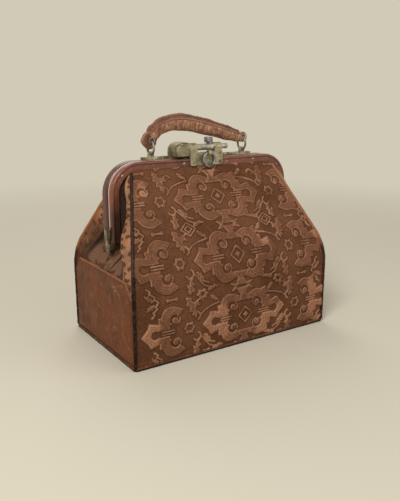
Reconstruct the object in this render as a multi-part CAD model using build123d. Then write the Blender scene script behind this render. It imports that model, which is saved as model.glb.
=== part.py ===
from build123d import *
import math
import os

# A hinged-frame satchel: carpet walls on a stiffened base, two leather-covered steel jaws,
# a brass sliding lock and a rolled leather handle on two rings.
# Millimetres. +Z is up, the front faces -Y, and the origin is under the middle of the base.

# Clearances
CLEARANCE = 0.3
PIN_CLEARANCE = 0.05
OVERRUN = 20.0

# Body of the bag
BODY_LENGTH = 294.0
BODY_DEPTH = 170.0
BEND_HEIGHT = 112.0
BEND_RUN = 25.0
MOUTH_LENGTH = 216.0
MOUTH_TUCK = 0.5
CARPET_THICKNESS = 2.4
GUSSET_THICKNESS = 1.8
PIPING_DIAMETER = 4.4
PIPING_END_GAP = 5.5
SEAM_GAP = 0.5
BASE_THICKNESS = 2.5
BOARD_THICKNESS = 2.5
BASE_CORNER_RADIUS = 3.2
STIFFENER_THICKNESS = 2.0
STIFFENER_HEIGHT = 84.0

# Plain leather patch on each end
PATCH_THICKNESS = 1.8
PATCH_HEIGHT = 104.0
PATCH_INSET = 3.5
PATCH_CUT_WIDTH = 14.0
PATCH_CUT_HEIGHT = 18.0

# Pleat of each end
PLEAT_LOW_HEIGHT = 103.0
PLEAT_HEIGHT = 120.0
WING_HEIGHT = 133.0
WING_TOP_DROP = 7.5
FLAP_HEIGHT = 17.0
ROLL_DEPTH = 22.0
VALLEY_DEPTH = 15.0
HEM_DEPTH = 9.2
VALLEY_INSET = 10.0
PLEAT_STEP = 2.0

# Hinged frame
HINGE_HEIGHT = 129.0
FRAME_HEIGHT = 232.0
FRAME_LENGTH = 270.0
FRAME_CORNER_RADIUS = 38.0
BAND_HEIGHT = 11.5
FRONT_JAW_DEPTH = 12.0
BACK_JAW_DEPTH = 14.5
BAND_RECESS = 0.8
BEAD_RADIUS = 2.2
FRONT_ROUND = 2.0
BACK_ROUND = 4.0
BOW_HEIGHT = 5.0
FRONT_BOW_DEPTH = 4.5
BACK_BOW_DEPTH = 6.0
ARM_END_GAP = 7.0

# Hinges
LEAF_THICKNESS = 1.4
LEAF_GAP = 0.2
EYE_RADIUS = 5.5
TONGUE_LENGTH = 24.0
TONGUE_ROOT_RADIUS = 3.0
TONGUE_TIP_RADIUS = 1.9
FRONT_TONGUE_LEAN = 5.6
BACK_TONGUE_LEAN = 6.2
PIN_RADIUS = 1.6
PIN_HEAD_RADIUS = 3.0
PIN_HEAD_HEIGHT = 1.2

# Rivets
RIVET_RADIUS = 1.6
RIVET_RISE = 0.7
RIVET_SHANK_RADIUS = 0.7
RIVET_SHANK_LENGTH = 2.4
JAW_RIVET_SHARES = (0.285, 0.122)

# Lock on the front jaw
CLASP_LENGTH = 50.0
CLASP_THICKNESS = 1.2
CLASP_DROP = 9.5
CLASP_RISE = 8.0
CLASP_CORNER = 2.0
CLASP_EDGE = 0.5
CLASP_RIVET_INSET = 4.5
CLASP_RIVET_RADIUS = 2.0
KEEPER_LENGTH = 12.0
KEEPER_DEPTH = 11.0
KEEPER_HEIGHT = 19.0
KEEPER_EDGE = 0.8
BOLT_RADIUS = 4.2
BOLT_CLEARANCE = 0.25
BOLT_STUB_RADIUS = 3.3
BOLT_STUB_LENGTH = 11.0
BOLT_EDGE = 0.8
BOLT_NOSE_GAP = 0.5
KNOB_OFFSET = 6.5
KNOB_RADIUS = 5.6
KNOB_HEIGHT = 7.0
KNOB_EDGE = 1.6
KNOB_NECK_RADIUS = 2.5
KNOB_NECK_HEIGHT = 1.2
KNOB_STEM_DEPTH = 3.0
SOCKET_LENGTH = 18.0
SOCKET_GAP = 1.5
SOCKET_HEIGHT = 16.6
SOCKET_ROUND = 11.0
SOCKET_EDGE = 2.5
SOCKET_BORE_SIDE = 9.8
SOCKET_BORE_DEPTH = 11.0

# Pull ring
PULL_OFFSET = 2.0
PULL_RADIUS = 8.7
PULL_WIRE_RADIUS = 1.6
PULL_PIVOT_RISE = 6.5
PULL_STAND_OFF = 2.4
LUG_RADIUS = 3.4
LUG_HOLE_RADIUS = 2.3
LUG_LENGTH = 5.0

# Handle bar and rings
BAR_LENGTH = 168.0
BAR_WIDTH = 8.0
BAR_THICKNESS = 3.4
BAR_PAD_LENGTH = 24.0
BAR_PAD_WIDTH = 10.5
BAR_PAD_ROUND = 3.0
RING_SPACING = 142.0
RING_RADIUS = 8.5
RING_WIRE_RADIUS = 1.4
EAR_THICKNESS = 3.0
EAR_RADIUS = 4.0
EAR_HOLE_RADIUS = 2.1
EAR_HOLE_RISE = 2.9
SCREW_SPACING = 104.0
SCREW_RADIUS = 2.4
SCREW_HEAD_HEIGHT = 1.6
SCREW_SHANK_RADIUS = 1.2
SCREW_LENGTH = 6.0
SCREW_SLOT_WIDTH = 0.7
SCREW_SLOT_DEPTH = 0.6

# Handle
HANDLE_RISE = 21.0
HANDLE_THICKNESS = 20.0
HANDLE_DEPTH = 16.0
TAB_RADIUS = 7.0
TAB_THICKNESS = 6.4
TONGUE_DROP = 5.6
TONGUE_RADIUS = 5.8
EYELET_HOLE_RADIUS = 2.7
EYELET_WALL = 0.6
EYELET_FLANGE_RADIUS = 4.6
EYELET_FLANGE_THICKNESS = 0.6

# Centres, heights and depths of the grip from the left eyelet to the right one, as shares of
# half the ring spacing, the rise, the thickness and the depth
GRIP_PLACE_SHARES = (-0.97, -0.87, -0.69, -0.40, 0.07, 0.55, 0.83, 0.96)
GRIP_RISE_SHARES = (0.10, 0.45, 0.86, 1.00, 0.74, 0.33, 0.08, 0.00)
GRIP_THICK_SHARES = (0.60, 0.76, 0.90, 1.00, 0.98, 0.90, 0.76, 0.62)
GRIP_DEPTH_SHARES = (0.40, 0.60, 0.90, 1.00, 1.00, 0.92, 0.64, 0.40)

# Raised figure of the carpet: rows as shares of the mouth height, columns by their pitch
PILE_HEIGHT = 0.9
PILE_MARGIN = 3.0
COLUMN_PITCH = 84.0
ROW_SHARES = (0.179, 0.536, 0.838)
ROW_SQUEEZE_SHARES = (1.0, 0.92, 0.83)
ROW_SHIFTS = (10.0, 0.0, 0.0)
LINK_ROW_SHARES = (0.362, 0.690)
LINK_SQUEEZE_SHARES = (1.0, 0.83)
MEDALLION_LENGTH = 134.0
MEDALLION_HEIGHT = 67.0
WING_POINT_SHARES = (
    (0.40, 0.18), (0.49, 0.39), (0.54, 0.63), (0.61, 0.63), (0.63, 0.36), (0.81, 0.48), (0.85, 0.25), (1.0, 0.0),
)
HORN_POINT_SHARES = ((0.40, 0.88), (0.57, 1.0), (0.56, 0.60))
LOBE_LENGTH = 26.0
LOBE_WIDTH = 9.0
LOBE_PLACE = 40.0
DIAMOND_SIDE = 15.0
DIAMOND_BAND = 2.6
BUD_RADIUS = 3.4
BALL_PLACE = (19.0, 13.5)
BALL_RADIUS = 4.3
BALL_RING_RADIUS = 8.8
VOLUTE_PLACE = (22.5, 17.0)
VOLUTE_RADIUS = 15.5
VOLUTE_START = 2.0
VOLUTE_FACING_ANGLE = 38.0
VOLUTE_SIDES = 18
BALL_SIDES = 10
STEM_WIDTH = 8.4
STEM_LENGTH = 21.0
STEM_PLACE = 30.5
STEM_FOOT_WIDTH = 20.0
STEM_FOOT_HEIGHT = 5.0
LINK_STAR_RADIUS = 11.0
LINK_STAR_RAYS = 6
RAY_WAIST_SHARE = 0.55
ROSETTE_RADIUS = 9.0
PETALS = 6
PETAL_WAIST_SHARE = 0.64
FLOWER_HOLE_RADIUS = 3.6
DASH_WIDTH = 3.0
FIELD_FLOWER_PLACE = 59.0
FIELD_FLOWER_RADIUS = 9.0
DUMBBELL_PLACE = 101.0
DUMBBELL_LENGTH = 13.0

# Places worked out from the sizes above
HALF_LENGTH = BODY_LENGTH / 2
HALF_DEPTH = BODY_DEPTH / 2
HALF_MOUTH = MOUTH_LENGTH / 2
HALF_FRAME = FRAME_LENGTH / 2
MOUTH_HEIGHT = FRAME_HEIGHT - BAND_HEIGHT
PIPING_RADIUS = PIPING_DIAMETER / 2
SEAM_EDGE = PIPING_RADIUS + SEAM_GAP
WALL_BOTTOM = PIPING_RADIUS + SEAM_EDGE
FRONT_MOUTH = FRONT_JAW_DEPTH - MOUTH_TUCK
BACK_MOUTH = BACK_JAW_DEPTH - MOUTH_TUCK
BACK_HALF_FRAME = HALF_FRAME + LEAF_THICKNESS + LEAF_GAP
ARM_BOTTOM = HINGE_HEIGHT + ARM_END_GAP
ARM_INSIDE = HALF_FRAME - BAND_HEIGHT
KEEPER_FRONT = -FRONT_JAW_DEPTH
BOLT_Y = KEEPER_FRONT + KEEPER_DEPTH / 2
BOLT_Z = FRAME_HEIGHT + KEEPER_HEIGHT - KEEPER_DEPTH / 2
BAR_Y = BACK_JAW_DEPTH / 2
BAR_TOP = FRAME_HEIGHT + BAR_THICKNESS
RING_Z = BAR_TOP + EAR_HOLE_RISE + RING_RADIUS
EYELET_Z = RING_Z + RING_RADIUS


def front_of(shape):
    """Mirror a shape made on the back side to the front side."""
    return shape.mirror(Plane.XZ)


def left_of(shape):
    """Mirror a shape made on the right side to the left side."""
    return shape.mirror(Plane.YZ)


# Carpet walls
def wall_line(mouth, inset):
    """Section line of the back wall, moved inward by the inset: upright, a round bend, then sloping."""
    slope = math.atan2(HALF_DEPTH - mouth, MOUTH_HEIGHT - BEND_HEIGHT)
    half_turn = math.tan(slope / 2)
    low = (HALF_DEPTH - inset, WALL_BOTTOM)
    bend = (HALF_DEPTH - inset, BEND_HEIGHT - inset * half_turn)
    top_y = mouth - inset * math.cos(slope)
    top_z = MOUTH_HEIGHT - CLEARANCE - inset * math.sin(slope)
    return FilletPolyline(low, bend, (top_y, top_z), radius=BEND_RUN / half_turn - inset)


def wall_layer(mouth, outer_inset, inner_inset):
    """A layer of the back wall between two insets, as long as the body."""
    outer = wall_line(mouth, outer_inset)
    inner = wall_line(mouth, inner_inset)
    ends = [Line(outer @ 0, inner @ 0), Line(outer @ 1, inner @ 1)]
    section = make_face(outer.edges() + inner.edges() + ends)
    return extrude(Plane.YZ * section, amount=HALF_LENGTH, both=True)


def wall_outline(margin):
    """Front view of a wall inside the corner seams and below the curve of the jaws, as a prism."""
    turn = math.tan(math.atan2(HALF_LENGTH - HALF_MOUTH, MOUTH_HEIGHT - BEND_HEIGHT) / 2)
    wide = HALF_LENGTH - SEAM_EDGE - margin
    narrow = HALF_MOUTH - SEAM_EDGE - margin
    low = WALL_BOTTOM - OVERRUN
    high = MOUTH_HEIGHT + OVERRUN
    reach = (wide - narrow) / (MOUTH_HEIGHT - BEND_HEIGHT) * OVERRUN
    points = [(wide, low), (wide, BEND_HEIGHT), (narrow - reach, high)]
    points += [(reach - narrow, high), (-wide, BEND_HEIGHT), (-wide, low)]
    bend_radius = BEND_RUN / turn
    sides = FilletPolyline(*points, radius=[bend_radius, 0, 0, bend_radius])
    trapezium = make_face(sides.edges() + [Line(sides @ 0, sides @ 1)])
    gap = CLEARANCE + margin
    jaw_round = FRAME_CORNER_RADIUS - BAND_HEIGHT - gap
    inside = RectangleRounded(2 * (ARM_INSIDE - gap), 2 * (MOUTH_HEIGHT - gap), jaw_round)
    inside += Rectangle(BODY_LENGTH, 2 * (FRAME_HEIGHT - FRAME_CORNER_RADIUS))
    return extrude(Plane.XZ * (trapezium & inside), amount=BODY_DEPTH, both=True)


# Raised figure
def figure_face(points, squeeze_share=1):
    """A flat face with straight sides, squeezed in height."""
    return make_face(Polyline(*[(x, y * squeeze_share) for x, y in points], close=True))


def round_points(place, sides, radii):
    """Points on a circle or, with two radii in turn, on a star."""
    points = []
    for i in range(sides):
        angle = 2 * math.pi * i / sides
        reach = radii[i % len(radii)]
        points.append((place[0] + reach * math.cos(angle), place[1] + reach * math.sin(angle)))
    return points


def share_points(shares):
    """Points given as shares of half the length and half the height of a medallion."""
    return [(x * MEDALLION_LENGTH / 2, y * MEDALLION_HEIGHT / 2) for x, y in shares]


def mirrored(points):
    """Points of the upper half of a shape, and the same below, in one round."""
    return points + [(x, -y) for x, y in reversed(points) if y]


def volute(squeeze_share):
    """A ball inside a broad hook with a horn, to the right of the middle and above it."""
    ball = figure_face(round_points(BALL_PLACE, BALL_SIDES, [BALL_RADIUS]), squeeze_share)
    ring = figure_face(round_points(BALL_PLACE, VOLUTE_SIDES, [BALL_RING_RADIUS]), squeeze_share)
    plate = figure_face(round_points(VOLUTE_PLACE, VOLUTE_SIDES, [VOLUTE_RADIUS]), squeeze_share)
    plate += figure_face(share_points(HORN_POINT_SHARES), squeeze_share)
    facing = math.radians(VOLUTE_FACING_ANGLE)
    ahead = []
    for near, beside in ((-VOLUTE_START, -MEDALLION_HEIGHT), (MEDALLION_HEIGHT, -MEDALLION_HEIGHT),
                         (MEDALLION_HEIGHT, MEDALLION_HEIGHT), (-VOLUTE_START, MEDALLION_HEIGHT)):
        x = BALL_PLACE[0] + near * math.cos(facing) - beside * math.sin(facing)
        ahead.append((x, BALL_PLACE[1] + near * math.sin(facing) + beside * math.cos(facing)))
    return ball + ((plate & figure_face(ahead, squeeze_share)) - ring)


def half_medallion(squeeze_share):
    """Right of the middle of a medallion: two volutes and a pointed wing with a slot."""
    wing = figure_face(mirrored(share_points(WING_POINT_SHARES)), squeeze_share)
    half = LOBE_WIDTH / 2
    end = LOBE_LENGTH / 2
    lobe = [(-end, half / 2), (half - end, half), (end - half, half), (end, half / 2)]
    wing -= figure_face([(LOBE_PLACE + x, y) for x, y in mirrored(lobe)], squeeze_share)
    return volute(squeeze_share) + volute(squeeze_share).mirror(Plane.XZ) + wing


def medallion(squeeze_share):
    """The large motif: a diamond round a bud, two halves with volutes and wings, and two stems."""
    outer = DIAMOND_SIDE / math.sqrt(2)
    inner = outer - DIAMOND_BAND
    motif = figure_face(round_points((0, 0), 4, [outer]), squeeze_share)
    motif -= figure_face(round_points((0, 0), 4, [inner]), squeeze_share)
    motif += figure_face(round_points((0, 0), 4, [BUD_RADIUS]), squeeze_share)
    foot = STEM_FOOT_WIDTH / 2
    neck = STEM_WIDTH / 2
    low = STEM_PLACE - STEM_LENGTH / 2
    high = STEM_PLACE + STEM_LENGTH / 2
    right_edge = [(foot, low), (neck, low + STEM_FOOT_HEIGHT), (neck, high)]
    stem = figure_face(right_edge + [(-x, y) for x, y in reversed(right_edge)], squeeze_share)
    half = half_medallion(squeeze_share)
    return motif + half + half.mirror(Plane.YZ) + stem + stem.mirror(Plane.XZ)


def flower(radius, squeeze_share):
    """A petalled flower with a hole."""
    petals = round_points((0, 0), 2 * PETALS, [radius, radius * PETAL_WAIST_SHARE])
    hole = round_points((0, 0), PETALS, [FLOWER_HOLE_RADIUS])
    return figure_face(petals, squeeze_share) - figure_face(hole, squeeze_share)


def dumbbell():
    """Two small squares on their corners, joined by a bar."""
    end = Rot(0, 0, 45) * Rectangle(2 * DASH_WIDTH, 2 * DASH_WIDTH)
    shift = DUMBBELL_LENGTH / 2
    return Rectangle(DUMBBELL_LENGTH, DASH_WIDTH) + Pos(shift, 0) * end + Pos(-shift, 0) * end


def carpet_figure():
    """The whole raised figure in front view: rows of medallions and flowers, small motifs between."""
    pieces = []
    for share, squeeze_share, shift in zip(ROW_SHARES, ROW_SQUEEZE_SHARES, ROW_SHIFTS):
        right = Pos(COLUMN_PITCH, 0) * (flower(ROSETTE_RADIUS, squeeze_share) + half_medallion(squeeze_share))
        row = medallion(squeeze_share) + right + right.mirror(Plane.YZ)
        pieces.append(Pos(shift, share * MOUTH_HEIGHT) * row)
    for share, squeeze_share in zip(LINK_ROW_SHARES, LINK_SQUEEZE_SHARES):
        height = share * MOUTH_HEIGHT
        rays = round_points((0, 0), 2 * LINK_STAR_RAYS, [LINK_STAR_RADIUS, LINK_STAR_RADIUS * RAY_WAIST_SHARE])
        pieces.append(Pos(0, height) * figure_face(rays, squeeze_share))
        bloom = Pos(FIELD_FLOWER_PLACE, height) * flower(FIELD_FLOWER_RADIUS, squeeze_share)
        knot = Pos(DUMBBELL_PLACE, height) * dumbbell()
        pieces += [bloom, bloom.mirror(Plane.YZ), knot, knot.mirror(Plane.YZ)]
    return pieces


def carpet_wall(mouth):
    """The back wall with its raised pile, one solid."""
    wall = wall_layer(mouth, 0, CARPET_THICKNESS) & wall_outline(0)
    field = wall_layer(mouth, -PILE_HEIGHT, CARPET_THICKNESS / 2) & wall_outline(PILE_MARGIN)
    for piece in carpet_figure():
        prism = extrude(Plane.XZ * piece, amount=BODY_DEPTH, both=True)
        wall += prism & field
    return wall


# Ends of the bag
def corner_at(height, mouth):
    """Plan place of a corner seam on the right back side at a height."""
    run_x = HALF_LENGTH - HALF_MOUTH
    run_y = HALF_DEPTH - mouth
    run = math.hypot(run_x, run_y)
    turn = math.atan2(run, MOUTH_HEIGHT - BEND_HEIGHT)
    radius = BEND_RUN / math.tan(turn / 2)
    above = height - (BEND_HEIGHT - BEND_RUN)
    moved = 0
    if above > radius * math.sin(turn):
        moved = (height - BEND_HEIGHT) * math.tan(turn)
    elif above > 0:
        moved = radius - math.sqrt(radius**2 - above**2)
    return HALF_LENGTH - moved * run_x / run, HALF_DEPTH - moved * run_y / run


def gusset_rails(mouth):
    """Plan lines of half an end by height: seam, roll, valley and hem, from low to high."""
    hem_x = ARM_INSIDE - 2 * CLEARANCE
    lines = {}
    flat_places = (HALF_DEPTH - SEAM_EDGE, ROLL_DEPTH, VALLEY_DEPTH, HEM_DEPTH)
    for height in (WALL_BOTTOM, BEND_HEIGHT - BEND_RUN):
        lines[height] = [(HALF_LENGTH, place) for place in flat_places]
    for height in (PLEAT_LOW_HEIGHT, PLEAT_HEIGHT, WING_HEIGHT, FRAME_HEIGHT - FRAME_CORNER_RADIUS):
        seam_x, seam_y = corner_at(height, mouth)
        seam = (seam_x, seam_y - SEAM_EDGE)
        roll = (seam_x - PLEAT_STEP, ROLL_DEPTH if height < ARM_BOTTOM else ROLL_DEPTH - PLEAT_STEP)
        deep = hem_x - VALLEY_INSET
        if height == PLEAT_LOW_HEIGHT:
            valley_x, end_x = seam_x - PLEAT_STEP, seam_x - PLEAT_STEP
        elif height == PLEAT_HEIGHT:
            valley_x, end_x = hem_x + PLEAT_STEP, hem_x
        else:
            valley_x, end_x = min(deep, seam_x - VALLEY_INSET), hem_x
        lines[height] = [seam, roll, (valley_x, VALLEY_DEPTH), (end_x, HEM_DEPTH)]
    top = MOUTH_HEIGHT - WING_TOP_DROP
    seam_x, seam_y = corner_at(top, mouth)
    start = seam_y - SEAM_EDGE
    step = (start - HEM_DEPTH) / 3
    lines[top] = [(seam_x - i * CLEARANCE, start - i * step) for i in range(4)]
    return lines


def gusset_section(line, height):
    """A thin horizontal strip behind a plan line."""
    outside = [(x, y, height) for x, y in line]
    inside = [(x - GUSSET_THICKNESS, y, height) for x, y in reversed(line)]
    return make_face(Polyline(*outside, *inside, close=True))


def gusset():
    """The right end: flat below, pleated in beside the arms of the jaws, with a flap behind the hinge."""
    back = gusset_rails(BACK_MOUTH)
    front = gusset_rails(FRONT_MOUTH)
    heights = sorted(back)
    fork = heights.index(PLEAT_HEIGHT)
    whole = []
    for height in heights[: fork + 1]:
        line = back[height] + [(x, -y) for x, y in reversed(front[height])]
        whole.append(gusset_section(line, height))
    end = loft(whole, ruled=True)
    for lines, side in ((back, 1), (front, -1)):
        strips = [gusset_section([(x, side * y) for x, y in lines[h]], h) for h in heights[fork:]]
        end += loft(strips, ruled=True)
    hem_x = back[PLEAT_HEIGHT][-1][0]
    flap = Box(GUSSET_THICKNESS, 2 * HEM_DEPTH, FLAP_HEIGHT, align=(Align.MAX, Align.CENTER, Align.MIN))
    return end + Pos(hem_x, 0, PLEAT_HEIGHT) * flap


def side_patch():
    """The right leather patch, with its two upper corners cut off."""
    half = HALF_DEPTH - PATCH_INSET
    cut = half - PATCH_CUT_WIDTH
    shoulder = PATCH_HEIGHT - PATCH_CUT_HEIGHT
    points = [(half, WALL_BOTTOM), (half, shoulder), (cut, PATCH_HEIGHT)]
    points += [(-y, z) for y, z in reversed(points)]
    outline = make_face(Polyline(*points, close=True))
    return extrude(Plane.YZ.offset(HALF_LENGTH) * outline, amount=PATCH_THICKNESS)


# Seams and base
def corner_piping(mouth):
    """The welt of the right back corner seam."""
    start = (HALF_LENGTH, HALF_DEPTH, PIPING_DIAMETER + CLEARANCE)
    bend = (HALF_LENGTH, HALF_DEPTH, BEND_HEIGHT)
    top = MOUTH_HEIGHT - PIPING_END_GAP
    end = (*corner_at(top, mouth), top)
    turn = math.atan2(math.hypot(HALF_LENGTH - HALF_MOUTH, HALF_DEPTH - mouth), MOUTH_HEIGHT - BEND_HEIGHT)
    path = FilletPolyline(start, bend, end, radius=BEND_RUN / math.tan(turn / 2))
    return sweep(Plane(path @ 0, z_dir=path % 0) * Circle(PIPING_RADIUS), path=path)


def base_piping():
    """The welt round the bottom seam."""
    loop = Pos(0, 0, PIPING_RADIUS) * RectangleRounded(BODY_LENGTH, BODY_DEPTH, BASE_CORNER_RADIUS)
    path = loop.wire()
    return sweep(Plane(path @ 0, z_dir=path % 0) * Circle(PIPING_RADIUS), path=path)


def base_panel():
    """The leather bottom, inside the welt."""
    outline = RectangleRounded(BODY_LENGTH - 2 * SEAM_EDGE, BODY_DEPTH - 2 * SEAM_EDGE, BASE_CORNER_RADIUS)
    return extrude(outline, amount=BASE_THICKNESS)


def long_board():
    """The stiffener inside the back wall, standing on the base."""
    length = BODY_LENGTH - 2 * (GUSSET_THICKNESS + STIFFENER_THICKNESS + 2 * CLEARANCE)
    board = Box(length, STIFFENER_THICKNESS, STIFFENER_HEIGHT, align=(Align.CENTER, Align.MAX, Align.MIN))
    return Pos(0, HALF_DEPTH - SEAM_EDGE - CLEARANCE, BASE_THICKNESS) * board


def end_board():
    """The stiffener inside the right end, standing on the base."""
    depth = BODY_DEPTH - 2 * (SEAM_EDGE + STIFFENER_THICKNESS + 2 * CLEARANCE)
    board = Box(STIFFENER_THICKNESS, depth, STIFFENER_HEIGHT, align=(Align.MAX, Align.CENTER, Align.MIN))
    return Pos(HALF_LENGTH - SEAM_EDGE - CLEARANCE, 0, BASE_THICKNESS) * board


def base_board():
    """The board that lies on the leather bottom, inside the stiffeners."""
    inset = SEAM_EDGE + STIFFENER_THICKNESS + 2 * CLEARANCE
    outline = Rectangle(BODY_LENGTH - 2 * inset, BODY_DEPTH - 2 * inset)
    return extrude(Pos(0, 0, BASE_THICKNESS) * outline, amount=BOARD_THICKNESS)


# Jaws
def jaw_path(half_frame, middle_y):
    """Middle line of a jaw: up the left arm, over the top and down the right arm."""
    side = half_frame - BAND_HEIGHT / 2
    top = FRAME_HEIGHT - BAND_HEIGHT / 2
    corner = FRAME_CORNER_RADIUS + half_frame - HALF_FRAME - BAND_HEIGHT / 2
    points = [(-side, middle_y, ARM_BOTTOM), (-side, middle_y, top)]
    points += [(side, middle_y, top), (side, middle_y, ARM_BOTTOM)]
    return FilletPolyline(*points, radius=corner)


def along_jaw(section, path):
    """Sweep a section, drawn outward and forward, along a jaw."""
    start = Plane(path @ 0, x_dir=(-1, 0, 0), z_dir=path % 0)
    return sweep(start * section, path=path)


def rivet(head_radius, rise, shank_radius, shank_length):
    """A domed rivet on the XY plane, its shank below."""
    dome_radius = (head_radius**2 + rise**2) / (2 * rise)
    dome = Pos(0, 0, rise - dome_radius) * Sphere(dome_radius)
    head = dome & Cylinder(head_radius, rise, align=(Align.CENTER, Align.CENTER, Align.MIN))
    shank = Cylinder(shank_radius, shank_length, align=(Align.CENTER, Align.CENTER, Align.MAX))
    return head + shank


def jaw_rivet_places():
    """Rivets on the front of the front jaw: four along the top and one in each corner."""
    row = FRAME_HEIGHT - BAND_HEIGHT / 2
    places = []
    for share in JAW_RIVET_SHARES:
        places += [(side * share * FRAME_LENGTH, row) for side in (-1, 1)]
    middle = (FRAME_CORNER_RADIUS - BAND_HEIGHT / 2) * math.cos(math.pi / 4)
    for side in (-1, 1):
        x = side * (HALF_FRAME - FRAME_CORNER_RADIUS + middle)
        places.append((x, FRAME_HEIGHT - FRAME_CORNER_RADIUS + middle))
    return places


def clasp_rivet_places():
    """Rivets in the lower corners of the clasp plate."""
    x = CLASP_LENGTH / 2 - CLASP_RIVET_INSET
    z = FRAME_HEIGHT - CLASP_DROP + CLASP_RIVET_INSET
    return [(-x, z), (x, z)]


def on_front(shape, places, face_y):
    """Copies of a shape, its axis turned to the front, at places on a front face."""
    return [Plane((x, face_y, z), z_dir=(0, -1, 0)) * shape for x, z in places]


def front_jaw_cover():
    """Leather over the front bow: a flat band with a bead along its outer edge."""
    depth = FRONT_JAW_DEPTH - CLEARANCE / 2
    band = Pos(0, -BAND_RECESS / 2) * RectangleRounded(BAND_HEIGHT, depth - BAND_RECESS, FRONT_ROUND)
    bead = Pos(BAND_HEIGHT / 2 - BEAD_RADIUS, depth / 2 - BEAD_RADIUS) * Circle(BEAD_RADIUS)
    hollow = Rectangle(BOW_HEIGHT + 2 * PIN_CLEARANCE, FRONT_BOW_DEPTH + 2 * PIN_CLEARANCE)
    cover = along_jaw(band + bead - hollow, jaw_path(HALF_FRAME, -CLEARANCE / 2 - depth / 2))
    hole = Cylinder(RIVET_SHANK_RADIUS + PIN_CLEARANCE, 2 * (RIVET_SHANK_LENGTH + CLEARANCE))
    for cut in on_front(hole, jaw_rivet_places(), BAND_RECESS - FRONT_JAW_DEPTH):
        cover -= cut
    for cut in on_front(hole, clasp_rivet_places(), BAND_RECESS - FRONT_JAW_DEPTH):
        cover -= cut
    return cover


def front_jaw_bow():
    """The steel bow inside the front jaw."""
    depth = FRONT_JAW_DEPTH - CLEARANCE / 2
    path = jaw_path(HALF_FRAME, -CLEARANCE / 2 - depth / 2)
    return along_jaw(Rectangle(BOW_HEIGHT, FRONT_BOW_DEPTH), path)


def back_jaw_cover():
    """Leather over the back bow: a thick rounded roll, bored for the screws of the handle bar."""
    depth = BACK_JAW_DEPTH - CLEARANCE / 2
    roll = RectangleRounded(BAND_HEIGHT, depth, BACK_ROUND)
    hollow = Rectangle(BOW_HEIGHT + 2 * PIN_CLEARANCE, BACK_BOW_DEPTH + 2 * PIN_CLEARANCE)
    cover = along_jaw(roll - hollow, jaw_path(BACK_HALF_FRAME, CLEARANCE / 2 + depth / 2))
    for hole in screw_holes():
        cover -= hole
    return cover


def back_jaw_bow():
    """The steel bow inside the back jaw, tapped for the screws of the handle bar."""
    depth = BACK_JAW_DEPTH - CLEARANCE / 2
    path = jaw_path(BACK_HALF_FRAME, CLEARANCE / 2 + depth / 2)
    bow = along_jaw(Rectangle(BOW_HEIGHT, BACK_BOW_DEPTH), path)
    for hole in screw_holes():
        bow -= hole
    return bow


# Hinges
def hinge_leaf(lean, face_x):
    """A brass leaf on the right end: an eye on the pin and a tapered tongue up its arm."""
    foot = Circle(TONGUE_ROOT_RADIUS)
    tip = Pos(lean, TONGUE_LENGTH) * Circle(TONGUE_TIP_RADIUS)
    outline = Circle(EYE_RADIUS) + make_hull(foot.edges() + tip.edges())
    outline -= Circle(PIN_RADIUS + PIN_CLEARANCE)
    outline -= Pos(lean, TONGUE_LENGTH) * Circle(RIVET_SHANK_RADIUS + PIN_CLEARANCE)
    plane = Plane((face_x, 0, HINGE_HEIGHT), x_dir=(0, 1, 0), z_dir=(1, 0, 0))
    return extrude(plane * outline, amount=LEAF_THICKNESS)


def hinge_rivet(lean, face_x):
    """The rivet at the tip of a leaf on the right end."""
    plane = Plane((face_x + LEAF_THICKNESS, lean, HINGE_HEIGHT + TONGUE_LENGTH), z_dir=(1, 0, 0))
    head_radius = RIVET_SHANK_RADIUS + TONGUE_TIP_RADIUS / 2
    return plane * rivet(head_radius, RIVET_RISE, RIVET_SHANK_RADIUS, LEAF_THICKNESS)


def hinge_pin():
    """The pin of the right hinge, headed over on both sides of the two leaves."""
    grip = 2 * LEAF_THICKNESS + LEAF_GAP + 2 * PIN_CLEARANCE
    outer = rivet(PIN_HEAD_RADIUS, PIN_HEAD_HEIGHT, PIN_RADIUS, grip)
    inner = Rot(180, 0, 0) * rivet(PIN_HEAD_RADIUS, PIN_HEAD_HEIGHT, PIN_RADIUS, grip)
    pin = outer + Pos(0, 0, -grip) * inner
    return Plane((HALF_FRAME + grip - PIN_CLEARANCE, 0, HINGE_HEIGHT), z_dir=(1, 0, 0)) * pin


# Handle bar
def screw_holes():
    """Bores for the two screws that hold the handle bar."""
    bore = Cylinder(SCREW_SHANK_RADIUS + PIN_CLEARANCE, 2 * (SCREW_LENGTH + CLEARANCE))
    return [Pos(side * SCREW_SPACING / 2, BAR_Y, BAR_TOP) * bore for side in (-1, 1)]


def screw_head(radius, height):
    """The countersunk cone of a screw, its flat face on the XY plane."""
    return Cone(SCREW_SHANK_RADIUS, radius, height, align=(Align.CENTER, Align.CENTER, Align.MAX))


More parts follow.
